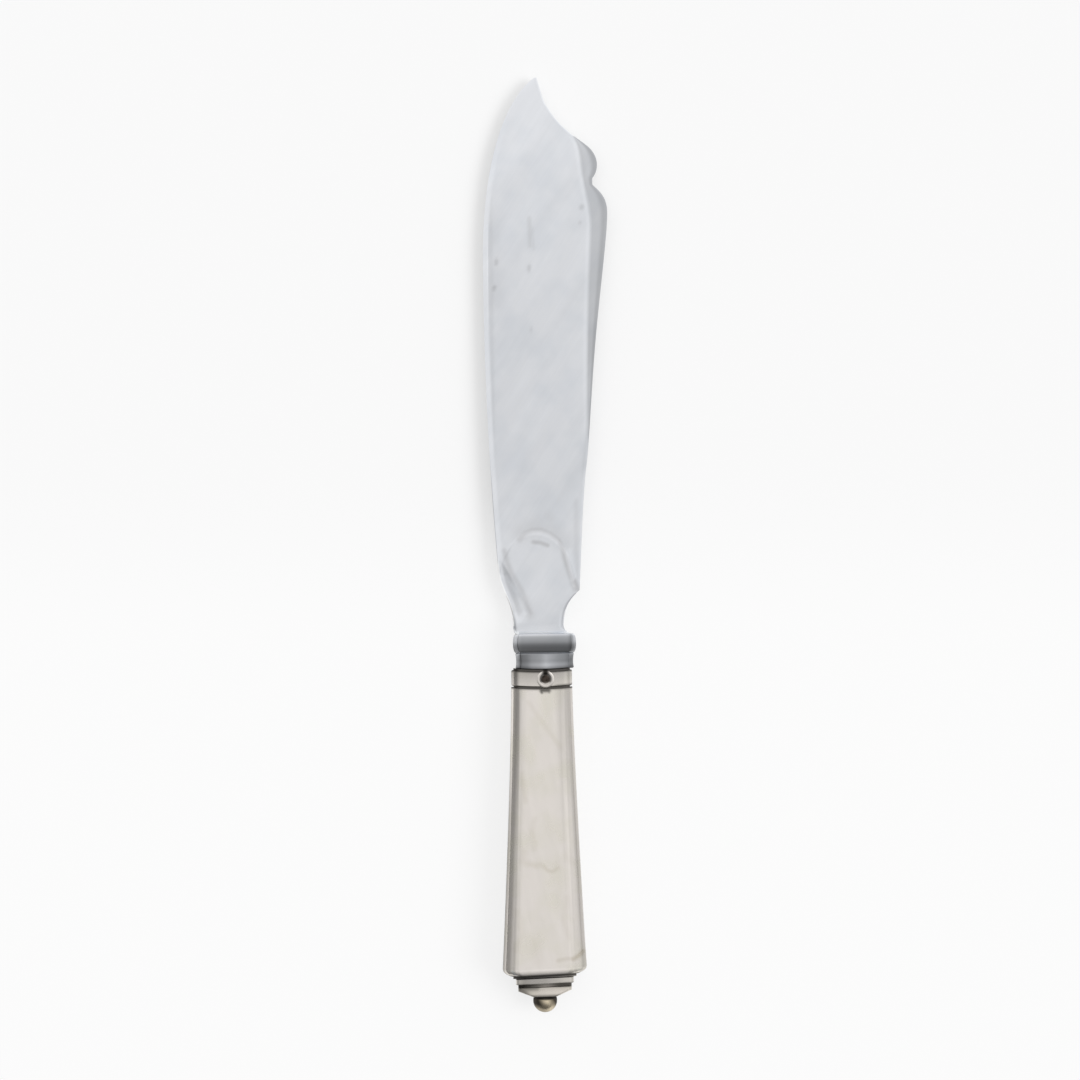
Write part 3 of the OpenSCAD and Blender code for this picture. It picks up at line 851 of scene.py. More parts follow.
    # Painted shade by distance inside the end of the root's arch, then a painted highlight and
    # painted shade by distance past the bevel's inner line
    arch_tones: Table = ((0.03, 1), (0.93, 0.925), (1.47, 0.925), (2.37, 1))
    ridge_tones: Table = ((-1.6, 1), (-0.8, 1.05), (0, 1))
    bevel_shade: Table = ((-0.3, 0), (0.3, 0.26))
    # Painted shade and light by share of the bevel's width
    bevel_rim_shade: Table = ((0.5, 0), (0.8, 0.14))
    lobe_light: Table = ((0.05, 0), (0.4, 0.07), (0.75, 0))
    lobe_shade: Table = ((0.7, 0), (0.9, 0.06))
    # By distance from the seat on the collar
    foot_grime: Table = ((0, 0.6), (0.4, 0))
    # Painted highlights: light strokes along the raised root's left crease and near its right side
    wear_and_sheen: tuple[Stroke, ...] = (
        Stroke(((-10.4, 28), (-9.1, 25.2), (-6.9, 21.8), (-5.1, 17.4), (-4.6, 15.8)), 1.0, 0.1),
        Stroke(((8.6, 34), (9.0, 30), (9.9, 26.5)), 1.0, 0.06),
    )
    pits: tuple[Stroke, ...] = (
        Stroke(((-11.9, 117.1), (-11.8, 118.0)), 1.0, 0.22),
        Stroke(((-2.4, 115.0), (-2.3, 116.2)), 1.0, 0.2),
        Stroke(((-12.6, 109.8), (-12.4, 110.3)), 1.0, 0.24),
        Stroke(((13.1, 133.3), (12.9, 132.9)), 1.2, 0.2),
        Stroke(((12.5, 128.4), (12.5, 128.7)), 0.9, 0.16),
        Stroke(((-2.0, 97.4), (-1.9, 98.2)), 0.8, 0.12),
    )
    # Darker strokes on the blade: two real marks of discolouring towards the tip, the first and the
    # third; the rest are painted shade, broad on the blade's upper left, and on the root along its
    # arch and the dash under it, down its right line to the heel corner, by its back and along its
    # left crease
    stains: tuple[Stroke, ...] = (
        Stroke(((-2.0, 122), (-2.2, 130)), 1.1, 0.16),
        Stroke(((-12.5, 131), (-12.8, 118), (-12.4, 106)), 4.5, 0.06),
        Stroke(((-1.0, 121), (-1.4, 127)), 0.8, 0.1),
        Stroke(((-2.0, 36.4), (0, 36.2), (2.1, 35.4)), 1.1, 0.34),
        Stroke(((-5.5, 39.2), (-1, 40.6), (3.6, 39.6), (6.2, 36.8)), 5.0, 0.12),
        Stroke((
            (-6.0, 37.2), (-4.3, 39), (-2.2, 39.9), (0.4, 39.9), (2.9, 38.7), (5.4, 36.8),
        ), 1.7, 0.27),
        Stroke(((2.4, 43.6), (2.8, 43)), 2.8, 0.1),
        Stroke(((5.4, 36.8), (6.6, 34), (7.0, 31.7), (8.7, 26.4), (10.2, 23)), 1.4, 0.33),
        Stroke(((9.6, 24.6), (10.5, 22.7)), 1.9, 0.42),
        Stroke(((10.5, 48), (10.3, 35), (10.8, 26)), 1.2, 0.1),
        Stroke(((-4.6, 37.2), (-2.4, 38.2), (0, 38.5), (2.8, 37.6), (5, 35.6)), 1.0, 0.08),
        Stroke(((-10.4, 33.9), (-9.6, 30.6), (-8.3, 27.4), (-5.4, 22.3), (-2.9, 15.8)), 1.3, 0.22),
        Stroke(((-5.3, 21.4), (-3.6, 17.6), (-3.0, 15.4)), 2.1, 0.12),
        Stroke(((-11.0, 25.4), (-9.2, 22.2), (-7.2, 18.6), (-6.5, 15.6)), 1.3, 0.12),
    )

    def __post_init__(self) -> None:
        """Works out the stations and curves that the sections are drawn from."""
        self.bolster_l = self.roll_l + self.band_l
        self.neck_y = self.bolster_l + self.cove_l
        self.low_size = self.band_w - 2 * self.groove_d, self.band_t - 2 * self.groove_d
        self.heel_y = self.bolster_l + self.neck_l
        self.tip_y = self.heel_y + self.length
        self.edge = self.curve(self.edge_shares, self.edge_reach)
        self.back = self.curve(self.back_shares, self.back_reach)
        self.bevel = self.curve(self.bevel_shares, self.back_reach)
        self.neck_edge = self.neck_w / 2 + self.neck_shift
        self.neck_back = self.neck_w / 2 - self.neck_shift
        first_edge, first_back = self.edge.points[0], self.back.points[0]
        handle_y = mix(self.neck_y, self.heel_y, self.edge_handle_share)
        self.edge_root = Outline((
            (self.neck_y, self.neck_edge), (handle_y, self.neck_edge),
            (self.heel_y, first_edge[1]), first_edge,
        ))
        first, second, out = self.heel_handle_shares
        self.heel = Outline((
            (self.neck_y, self.neck_back), (mix(self.neck_y, self.heel_y, first), self.neck_back),
            (mix(self.neck_y, self.heel_y, second), mix(self.neck_back, first_back[1], out)),
            first_back,
        ))
        self.ground = spread(self.bevel_section, self.flank_steps)
        self.rounded = round_shares(3 * self.flank_steps)
        self.slanted = spread(self.bolster_section, self.flank_steps)

    def curve(self, shares: Sequence[Share], reach: float) -> Outline:
        """Turns a curve in shares to real lengths."""
        real = [(self.heel_y + s * self.length, mix(self.tip_w / 2, reach, t)) for s, t in shares]
        return Outline(tuple(real))

    def edge_at(self, y: float) -> float:
        """Returns how far the edge stands from the axis."""
        return (self.edge_root if y < self.edge.points[0][0] else self.edge).at(y)

    def back_at(self, y: float) -> float:
        """Returns how far the back stands from the axis."""
        return (self.heel if y < self.heel_y else self.back).at(y)

    def back_bevel_at(self, y: float, back: float) -> float:
        """Measures the bevel along the back.

        Args:
            y: The station.
            back: How far the back stands from the axis there.

        Returns:
            The bevel's width.
        """
        line = self.bevel.points
        if y < line[0][0] or y > line[-1][0]:
            return self.back_ease_w
        return max(self.back_ease_w, back - self.bevel.at(y))

    def arch_end(self, x: float) -> float:
        """Returns the station at which the raised root ends, at x."""
        arch = 1 - ((x + self.root_shift) / self.root_arch_w) ** 2
        return self.heel_y + self.root_l * math.sqrt(max(0.0, arch))

    def blade_section(self, y: float) -> list[Vector]:
        """Draws the section of the forging at a station from the neck to the tip.

        Args:
            y: The station.

        Returns:
            The closed section.
        """
        edge, back = self.edge_at(y), self.back_at(y)
        past = (y - self.heel_y) / self.root_l
        fade_y = self.heel_y + self.neck_fade_share * self.root_l
        neck = ease((fade_y - y) / (fade_y - self.neck_y))
        heel = ease((self.heel_y - y) / (self.heel_y - self.neck_y))
        most = self.bevel_most_share * (edge + back)
        edge_w = min(most, mix(self.edge_bevel_w, self.neck_round_w, neck))
        back_w = min(most, mix(self.back_bevel_at(y, back), self.neck_round_w, heel))
        start = mix(self.neck_y, self.heel_y, self.flank_start_share)
        end = self.heel_y + self.flank_end_share * self.root_l
        foot = self.flank_foot_share * self.neck_w
        line = mix(foot, self.edge_at(end), clamp01((y - start) / (end - start)))
        reach = max(edge - line, self.edge_bevel_w)
        bevel_d = self.root_bevel_d * ease((y - self.neck_y) / (start - self.neck_y))
        bevel_d *= clamp01((edge - line) / self.root_bevel_w)
        face = mix(self.heel_t, self.tip_t, clamp01((y - self.heel_y) / self.length)) / 2
        side = self.root_arch_w * along(self.root_side_shares, past)
        side += self.root_side_w - self.root_shift

        def half(x: float) -> float:
            """Works out how thick the section is.

            Args:
                x: The place across it.

            Returns:
                The half thickness there.
            """
            flat = face * mix(self.edge_face_share, 1, clamp01((x + edge) / (edge + back)))
            rise = ease((self.arch_end(x) - y) / self.root_runout)
            rise *= ease((side - x) / self.root_side_w)
            raised = flat + self.root_rise * rise * ease((x + edge - edge_w) / self.root_fade_w)
            return mix(raised, self.neck_t / 2, neck) - bevel_d * clamp01((-x - line) / reach)

        edge_half = mix(self.edge_t, self.neck_side_t, neck) / 2
        edge_half = min(edge_half, self.foot_share * half(edge_w - edge))
        full = clamp01((back_w - self.back_ease_w) / (self.full_bevel_share * self.back_reach))
        back_half = mix(self.foot_share * half(back - back_w), self.back_t / 2, full)
        back_half = mix(back_half, self.neck_side_t / 2, heel)
        near = Flank(edge_w, edge_half, blend_shares(self.ground, self.rounded, neck))
        far = Flank(back_w, back_half, blend_shares(self.ground, self.rounded, heel))
        return ring(upper_line(edge, back, near, far, half, self.face_steps), y)

    def cove_section(self, angle: float) -> list[Vector]:
        """Draws a section of the cove that opens from the neck to the roll.

        Args:
            angle: How far round the cove's quarter circle it lies.

        Returns:
            The closed section.
        """
        part = 1 - math.cos(angle)
        end_w, end_t = self.low_size
        t = mix(self.neck_t, end_t, part)
        flank = Flank(
            mix(self.neck_round_w, self.side_w, part),
            mix(self.neck_side_t / 2, end_t / 2 - self.side_d, part),
            blend_shares(self.rounded, self.slanted, part),
        )
        line = upper_line(
            mix(self.neck_edge, end_w / 2 - self.bolster_shift, part),
            mix(self.neck_back, end_w / 2 + self.bolster_shift, part),
            flank, flank, lambda x: t / 2, self.face_steps,
        )
        return ring(line, self.neck_y - self.cove_l * math.sin(angle))

    def bolster_ring(self, y: float, w: float, t: float) -> list[Vector]:
        """Draws a section of the bolster that is w wide and t thick."""
        flank = Flank(self.side_w, t / 2 - self.side_d, self.slanted)
        return ring(bar_line(w, t, flank, self.bolster_shift, self.face_steps), y)

    def tang_ring(self, y: float, w: float, t: float) -> list[Vector]:
        """Draws a section of the tang that is w wide and t thick."""
        wide, foot = self.tang_flank_shares
        return ring(bar_line(w, t, Flank(wide * t, foot * t, self.rounded), 0, self.face_steps), y)

    def rings(self) -> list[list[Vector]]:
        """Draws all sections from the end of the tang to the tip.

        Returns:
            The closed sections, in order.
        """
        root, end = self.tang
        rows = [self.tang_ring(-self.tang_l, *end), self.tang_ring(0, *root)]
        low_w, low_t = self.low_size
        for t in stepped(self.band_steps):
            drawn_in = 2 * self.band_waist * (1 - (2 * t - 1) ** 2)
            drawn_in += 2 * self.seat_lip * max(0.0, 1 - t * self.band_steps)
            y = t * (self.band_l - self.seat_lip)
            rows.append(self.bolster_ring(y, self.band_w - drawn_in, self.band_t - drawn_in))
        for t in stepped(self.roll_steps):
            swell = math.sin(math.pi * t) ** self.roll_power
            y = self.band_l + self.roll_l / 2 * (1 - math.cos(math.pi * t))
            w, thick = mix(low_w, self.roll_w, swell), mix(low_t, self.roll_t, swell)
            rows.append(self.bolster_ring(y, w, thick))
        rows += [self.cove_section(math.pi / 2 * t) for t in stepped(self.cove_steps)[-2:0:-1]]
        stations = [self.neck_y] + between(self.neck_y, self.heel_y, self.neck_steps)
        stations += between(self.heel_y, self.heel_y + self.root_l + 1, self.root_steps)
        stations += between(stations[-1], self.tip_y - self.point_l, self.body_steps)
        stations += between(stations[-1], self.tip_y, self.point_steps)
        return rows + [self.blade_section(y) for y in stations]

    def bolster_tone(self, p: Vector) -> float:
        """Works out the light and shade painted on the band, the roll and the cove.

        Args:
            p: A point of them.

        Returns:
            The tone there.
        """
        bright = along(self.bolster_tones, p.y)
        if p.z < 0 or p.y > self.bolster_l:
            return bright
        across = along(self.band_tones if p.y < self.band_l else self.roll_tones, p.x)
        return bright * mix(1, across, soft(self.joint_reach, abs(p.y - self.band_l)))

    def bevel_tone(self, x: float, y: float) -> float:
        """Works out the light and shade painted on the bevel along the back.

        Args:
            x: The place across the blade.
            y: The station.

        Returns:
            The factor of the tone there.
        """
        inner = self.bevel.at(y)
        past, wide = x - inner, max(self.back_at(y) - inner, self.back_ease_w)
        across = past / wide
        lobe = soft(self.lobe_light, across) - soft(self.lobe_shade, across)
        return (
            soft(self.ridge_tones, past)
            * (1 - soft(self.bevel_shade, past) - soft(self.bevel_rim_shade, across))
            * mix(1, along(self.swage_tones, y), soft(self.swage_reach, past))
            * (1 + soft(self.lobe, y) * lobe)
        )

    def tone(self, p: Vector) -> float:
        """Works out the light and shade painted on the steel.

        Args:
            p: A point of the forging.

        Returns:
            The tone there.
        """
        x, y = p.x, p.y
        if y < self.neck_y:
            return self.bolster_tone(p)
        inside, left = x + self.edge_at(y), self.back_at(y) - x
        bright = along(self.blade_tones, y)
        bright *= 1 + along(self.edge_highlight, y) * soft(self.edge_highlight_reach, inside)
        bright *= 1 + along(self.rim_highlight, y) * soft(self.rim_highlight_reach, inside)
        if p.z > 0:
            bright *= 1 + marks(self.wear_and_sheen, x, y)
            bright *= soft(self.arch_tones, self.arch_end(x) - y)
        if self.bevel.points[0][0] < y < self.bevel.points[-1][0]:
            bright *= self.bevel_tone(x, y)
        return bright * (1 - along(self.back_shade, y) * soft(self.back_shade_reach, left))

    def dress(self, finishes: Finishes) -> None:
        """Builds the forging and gives it its finish: painted light and shade, painted shade
        strokes on the root, discoloured marks, pits, and dirt at its seat on the collar.
        """
        finishes.lay(
            tube(self.rings()), "blade", "blade_steel", tone=self.tone, stain=on_front(self.stains),
            dots=on_front(self.pits), grime=lambda p: soft(self.foot_grime, abs(p.y)),
        )


@dataclass
class Collar:
    """The silver band that closes the front of the handle, with a ringed bead on each face."""

    band_l: float = 4.3
    w: float = 17.5
    t: float = 10.1
    r: float = 2.4
    groove_w: float = 0.6
    groove_d: float = 0.6
    wall: float = 1.7
    lip: float = 0.18
    bead_shift: float = 1.1
    ring_d: float = 5.0
    ring_hole_d: float = 3.1
    ring_h: float = 0.55
    seat_d: float = 0.3
    bead_d: float = 2.6
    bead_rise: float = 0.22
    bead_stretch: float = 1.6
    seat_share: float = 0.6
    corner_steps: int = 8
    face_steps: int = 48
    band_steps: int = 18
    ring_section_steps: int = 16
    ring_steps: int = 56
    bead_steps: tuple[int, int] = (36, 24)
    # Painted shade on the band's left corner, by x
    band_tones: Table = (
        (-8.4, 1.0), (-7.8, 0.8), (-7.4, 0.5), (-7.1, 0.5), (-6.8, 0.72), (-6.3, 1.0), (8.75, 1.04),
    )
    # Factor of the tone, from the front groove (0) to the rear one (1)
    tones_down: Table = ((0, 0.57), (1, 0.87))
    back_tone: float = 0.9
    # Painted shade on the ring's crown and painted light on its outer slope, by distance outside
    # the ring's outer line
    ring_tones: Table = ((-0.4, 0.78), (-0.05, 1.25))
    # Black in the ring, by distance outside its hole's rim, and by distance in front of the bead
    pool_rim: Table = ((-0.15, 0.85), (0.35, 0))
    pool_start: Table = ((-1.15, 0), (-0.55, 1))
    # Black that runs up from it: half width and strength by distance in front of the bead, and
    # how it fades sideways, in half widths
    run_width: Table = ((1, 1.0), (3, 1.6))
    run_start: Table = ((0.6, 0), (1.3, 1))
    run_side: Table = ((0.25, 1), (1.25, 0))
    # Oxide of the grooves: its strength, then its reach over the band's front edge
    groove_grime: float = 0.81
    front_groove: Table = ((-0.55, 0), (0.05, 1))
    # Its reach over the rear edge and its fade there, and what is added to both towards the back
    rear_groove: Share = (0.3, 0.4)
    rear_spread: Table = ((2, 0), (5, 0.6))
    # By distance behind the bead's middle
    bead_wear: Table = ((0.55, 0), (1.05, 0.8))

    @property
    def length(self) -> float:
        """Length of the collar with both grooves."""
        return self.band_l + 2 * self.groove_w

    @property
    def bead_y(self) -> float:
        """Station of the bead."""
        return -self.groove_w - self.band_l / 2

    def pool(self, p: Vector) -> float:
        """Works out the black that has settled round the bead and runs up into the groove.

        Args:
            p: A point of the collar or of a ring.

        Returns:
            The grime there.
        """
        x, y = p.x - self.bead_shift, p.y - self.bead_y
        inside = soft(self.pool_rim, math.hypot(x, y) - self.ring_hole_d / 2)
        above = soft(self.run_side, abs(x) / along(self.run_width, y))
        return max(inside * soft(self.pool_start, y), above * soft(self.run_start, y))

    def grime(self, p: Vector) -> float:
        """Works out the oxide in the grooves and round the bead.

        Args:
            p: A point of the band.

        Returns:
            The grime there.
        """
        base, fade = self.rear_groove
        high = soft(self.rear_spread, p.x)
        front = soft(self.front_groove, p.y + self.groove_w)
        rear = ease((base + high - p.y - self.groove_w - self.band_l) / (fade + high))
        return max(self.groove_grime * max(front, rear), self.pool(p))

    def tone(self, p: Vector) -> float:
        """Returns the tone of the band's face at a point: painted shade on its left corner, and
        darker towards the front groove.
        """
        down = along(self.tones_down, (-self.groove_w - p.y) / self.band_l)
        return self.back_tone if p.z < 0 else along(self.band_tones, p.x) * down

    def ring_tone(self, p: Vector) -> float:
        """Returns a ring's tone: painted shade on its crown, painted light on its outer slope."""
        away = math.hypot(p.x - self.bead_shift, p.y - self.bead_y)
        return soft(self.ring_tones, away - self.ring_d / 2)

    def section(self, y: float, w: float, t: float, r: float) -> list[Vector]:
        """Draws a section that is w wide and t thick, with corners of radius r."""
        return ring(rounded_line(w, t, r, self.corner_steps, self.face_steps), y)

    def band(self, y: float, inset: float) -> list[Vector]:
        """Draws a section of the collar that lies inset under its surface."""
        return self.section(y, self.w - 2 * inset, self.t - 2 * inset, self.r - inset)

    def bore(self, y: float) -> list[Vector]:
        """Draws a section of the collar's opening."""
        return self.section(y, self.w - 2 * self.wall, self.t - 2 * self.wall, self.r / 2)

    def dress_band(self, finishes: Finishes) -> None:
        """Builds the band between its two grooves.

        Args:
            finishes: The knife's finishes.
        """
        deep, lip, end = self.groove_d, self.lip, -self.length
        front, rear = -self.groove_w, -self.groove_w - self.band_l
        rows = [self.band(y, deep) for y in (0, front * self.seat_share, front + lip / 2)]
        rows.append(self.band(front, lip))
        face = [front - lip, *between(front - lip, rear + lip, self.band_steps)]
        rows += [self.band(y, 0) for y in face]
        rows += [self.band(rear, lip), self.band(rear - lip / 2, deep), self.band(end, deep)]
        rows += [self.bore(end), self.bore(0), rows[0]]
        finishes.lay(sheet(rows), "collar", "silver", grime=self.grime, tone=self.tone)

    def on_band(self, side: Side) -> Matrix:
        """Returns the move from the origin to the middle of the bead's seat."""
        place = Matrix.Translation((self.bead_shift, self.bead_y, side.value * self.t / 2))
        return place @ Matrix.Diagonal((1, 1, side.value, 1))

    def dress_ring(self, side: Side, finishes: Finishes) -> None:
        """Builds a ring: a flat oval section spun round the bead.

        Args:
            side: The face of the knife that it sits on.
            finishes: The knife's finishes.
        """
        bm = bmesh.new()
        section = bmesh.ops.create_circle(bm, segments=self.ring_section_steps, radius=1)["verts"]
        half_w, half_h = (self.ring_d - self.ring_hole_d) / 4, self.ring_h / 2
        lay = (
            Matrix.Translation(((self.ring_d + self.ring_hole_d) / 4, 0, half_h - self.seat_d))
            @ Matrix.Diagonal((half_w, 1, half_h, 1)) @ Matrix.Rotation(math.pi / 2, 4, "X")
        )
        bmesh.ops.transform(bm, matrix=lay, verts=section)
        bmesh.ops.spin(bm, geom=bm.verts[:] + bm.edges[:], angle=2 * math.pi, steps=self.ring_steps,
                       axis=(0, 0, 1), cent=(0, 0, 0), use_merge=True)
        bmesh.ops.transform(bm, matrix=self.on_band(side), verts=bm.verts)
        bmesh.ops.remove_doubles(bm, verts=bm.verts, dist=WELD)
        finishes.lay(bm, f"bead_ring_{side.label}", "silver", tone=self.ring_tone, grime=self.pool)

    def bead_stain(self, p: Vector) -> float:
        """Returns where a bead is rubbed bare: towards the handle."""
        return soft(self.bead_wear, self.bead_y - p.y)

    def dress_bead(self, side: Side, finishes: Finishes) -> None:
        """Builds a bead: a low dome that stands in its ring.

        Args:
            side: The face of the knife that it sits on.
            finishes: The knife's finishes.
        """
        bm = bmesh.new()
        round_steps, height_steps = self.bead_steps
        bmesh.ops.create_uvsphere(bm, u_segments=round_steps, v_segments=height_steps,
                                  radius=self.bead_d / 2)
        low = Matrix.Diagonal((1, 1, 2 * self.bead_rise / self.bead_d * self.bead_stretch, 1))
        bmesh.ops.transform(bm, matrix=self.on_band(side) @ low, verts=bm.verts)
        sink = (0, 0, -side.value * self.bead_rise * (self.bead_stretch - 1))
        bmesh.ops.translate(bm, vec=sink, verts=bm.verts)
        finishes.lay(bm, f"bead_{side.label}", "oxidised_silver", stain=self.bead_stain)


@dataclass
class HandleShells:
    """The two stamped halves of the hollow handle, soldered along the narrow sides."""

    start: float = -5.5
    length: float = 83.2
    w: float = 17.6
    end_w: float = 24.2
    t: float = 10.8
    end_t: float = 13.0
    corner: Share = (3.2, 2.7)
    end_corner: Share = (4.8, 4.0)
    wall: float = 1.0
    cut_l: float = 2.4
    cut_w: float = 2.4
    cut_t: float = 0.35
    end_corner_share: float = 0.7
    flare_power: float = 1.3
    corner_power: float = 2.8
    seam: float = 0.07
    corner_shares: Table = (
        (0, 0), (0.04, 0.3), (0.2, 0.56), (0.46, 0.76), (0.74, 0.93), (1, 1),
    )
    upright_shares: Share = (0.3, 0.65)
    corner_steps: int = 4
    face_steps: int = 44
    first_stations: tuple[float, ...] = (0.0, 0.12, 0.3)
    long_steps: int = 170
    cut_steps: int = 16
    closing_sizes: tuple[float, ...] = (0.94, 0.8, 0.6, 0.4, 0.2, 0.0)
    # Painted shade and light along the long sides: tones by distance from the side, at the front
    # and at the rear of the handle
    left_tones: tuple[Table, Table] = (
        (
            (0.1, 1.1), (0.6, 1.1), (1.0, 0.85), (1.5, 0.59), (2.0, 0.62), (2.6, 0.77), (3.2, 0.9),
            (4.8, 1.0),
        ),
        (
            (0.1, 0.6), (0.5, 0.56), (0.8, 0.85), (1.36, 0.8), (1.9, 0.84), (2.66, 1.12),
            (3.5, 0.93), (4.8, 1.0),
        ),
    )
    right_tones: tuple[Table, Table] = (
        ((0.4, 0.85), (1.5, 0.78), (3.2, 0.76), (4.5, 0.92), (5.5, 1.0)),
        (
            (0.3, 0.72), (0.69, 0.64), (1.0, 0.74), (1.3, 0.86), (1.7, 1.02), (3.0, 0.97),
            (3.9, 0.88), (5.0, 1.0),
        ),
    )
    # Share of the rear's tones, by share of the way to the cut end
    to_rear: Table = ((0, 0), (0.6, 1))
    back_tone: float = 0.95
    # Painted highlight at the cut end: gain of tone by distance from the end, and by distance from
    # the middle line
    end_highlight: Table = ((1.6, 1), (2.4, 0))
    end_highlight_across: Table = ((7, 0.14), (8.5, 0.26))
    # Oxide by distance from the front end, below 0 behind it, and from the rear end
    joint_grime: Table = ((-0.45, 0), (-0.05, 0.8))
    end_grime: Table = ((0, 1), (0.6, 0))
    # Clouds on the back: how fast they turn across and along, and how they stain
    cloud_turns: Share = (0.5, 0.21)
    cloud_stain: Table = ((0.3, 0), (1.3, 0.12))
    drop: tuple[Stroke, ...] = (
        Stroke(((-0.1, -5.9), (2.0, -5.9)), 1.2, 0.87),
        Stroke(((-0.1, -6.3), (0.0, -6.6)), 0.8, 0.8),
        Stroke(((2.1, -6.2), (2.05, -6.45)), 0.75, 0.65),
    )
    stains: tuple[Stroke, ...] = (
        Stroke(((3.8, -84.2), (6.5, -83.7), (8.6, -83.8)), 1.1, 0.2),
        Stroke(((8.2, -83.9), (9.9, -82.9), (11.0, -81.7)), 1.2, 0.42),
        Stroke(((-3, -79), (-2, -84)), 3.0, 0.06),
        Stroke(((-2.4, -43.4), (-3.2, -46.5), (-2.6, -49.6), (-2.7, -52)), 1.5, 0.07),
        Stroke(((-3.4, -46.4), (-2.8, -48.2)), 1.3, 0.1),
        Stroke(((-5.7, -52.8), (-6.1, -55), (-4.0, -56.2)), 1.9, 0.1),
        Stroke(((-4.4, -56), (-2.5, -56.6), (-0.8, -56.4)), 1.5, 0.12),
        Stroke(((0.1, -56.9), (1.2, -58.1), (2.6, -58.3), (4.2, -57.3)), 1.0, 0.18),
        Stroke(((4.4, -56.8), (6.2, -54), (7.6, -55.5)), 2.2, 0.05),
        Stroke(((-3.7, -9.8), (-0.3, -15), (5.3, -23.2)), 1.3, 0.08),
        Stroke(((-6, -30), (-5, -38)), 1.4, 0.1),
        Stroke(((6.5, -66), (5.5, -72), (7, -77)), 1.6, 0.08),
        Stroke(((-8, -70), (-6.5, -76), (-8.5, -81)), 1.8, 0.08),
    )

    def __post_init__(self) -> None:
        """Works out the profile of the long corners."""
        self.straight_l = self.length - self.cut_l
        self.profile = spread(self.corner_shares, self.corner_steps)
        self.end_y = self.start - self.length

    def drawn_in(self, d: float) -> float:
        """Returns how far the corners of the end are cut, as a share, at distance d."""
        return max(0.0, (d - self.straight_l) / self.cut_l) ** self.corner_power

    def width_at(self, d: float) -> float:
        """Returns the handle's width at distance d behind the collar."""
        part = clamp01(d / self.straight_l)
        return mix(self.w, self.end_w, part ** self.flare_power) - 2 * self.cut_w * self.drawn_in(d)

    def half_line(self, d: float, side: Side) -> list[Vector]:
        """Draws the line of one half.

        Args:
            d: Distance behind the collar.
            side: The half.

        Returns:
            Its points, from seam to seam.
        """
        part, drawn, w = clamp01(d / self.straight_l), self.drawn_in(d), self.width_at(d)
        t = mix(self.t, self.end_t, part) - 2 * self.cut_t * drawn
        left = mix(1, self.end_corner_share, drawn)
        wide, deep = (left * mix(a, b, part) for a, b in zip(self.corner, self.end_corner))
        line = bar_line(w, t, Flank(wide, t / 2 - deep, self.profile), 0, self.face_steps)
        rim = [(-w / 2 + self.seam, 0.0), (-w / 2, self.seam)]
        rim += [(-w / 2, mix(self.seam, line[0][1], s)) for s in self.upright_shares]
        points = rim + line + [(-x, z) for x, z in reversed(rim)]
        return [Vector((x, self.start - d, side.value * z)) for x, z in points]

    def grime(self, p: Vector) -> float:
        """Returns the oxide at the collar's joint, in the chased drop and at the end."""
        joint = soft(self.joint_grime, p.y - self.start)
        return max(joint, soft(self.end_grime, p.y - self.end_y), on_front(self.drop)(p))

    def tone(self, p: Vector) -> float:
        """Works out the light and shade painted on the silver: darker along its sides, lighter at
        the cut end.

        Args:
            p: A point of a shell.

        Returns:
            The tone there.
        """
        if p.z < 0:
            return self.back_tone
        d = self.start - p.y
        inside = self.width_at(d) / 2 - abs(p.x)
        front, rear = self.left_tones if p.x < 0 else self.right_tones
        part = soft(self.to_rear, d / self.straight_l)
        highlight = soft(self.end_highlight, p.y - self.end_y) * soft(self.end_highlight_across, abs(p.x))
        return mix(along(front, inside), along(rear, inside), part) * (1 + highlight)

    def stain(self, p: Vector) -> float:
        """Returns how stained the silver is at a point: marked in front, clouded on the back."""
        cloud = math.sin(p.x * self.cloud_turns[0] + p.y * self.cloud_turns[1])
        return soft(self.cloud_stain, cloud) if p.z < 0 else marks(self.stains, p.x, p.y)

    def dress(self, side: Side, finishes: Finishes) -> None:
        """Builds one half: its outer skin with the closed end, then the wall under it.

        Args:
            side: The half.
            finishes: The knife's finishes.
        """
        stations = list(self.first_stations)
        stations += between(stations[-1], self.straight_l, self.long_steps)
        stations += between(stations[-1], self.length, self.cut_steps)
        rows = [self.half_line(d, side) for d in stations]
        last = rows[-1]
        for size in self.closing_sizes:
            rows.append([Vector((p.x * size, p.y, p.z * size)) for p in last])
        bm = sheet(rows)
        bmesh.ops.recalc_face_normals(bm, faces=bm.faces)
        bmesh.ops.solidify(bm, geom=bm.faces[:], thickness=self.wall)
        finishes.lay(bm, f"handle_{side.label}_shell", "silver",
                     grime=self.grime, stain=self.stain, tone=self.tone)


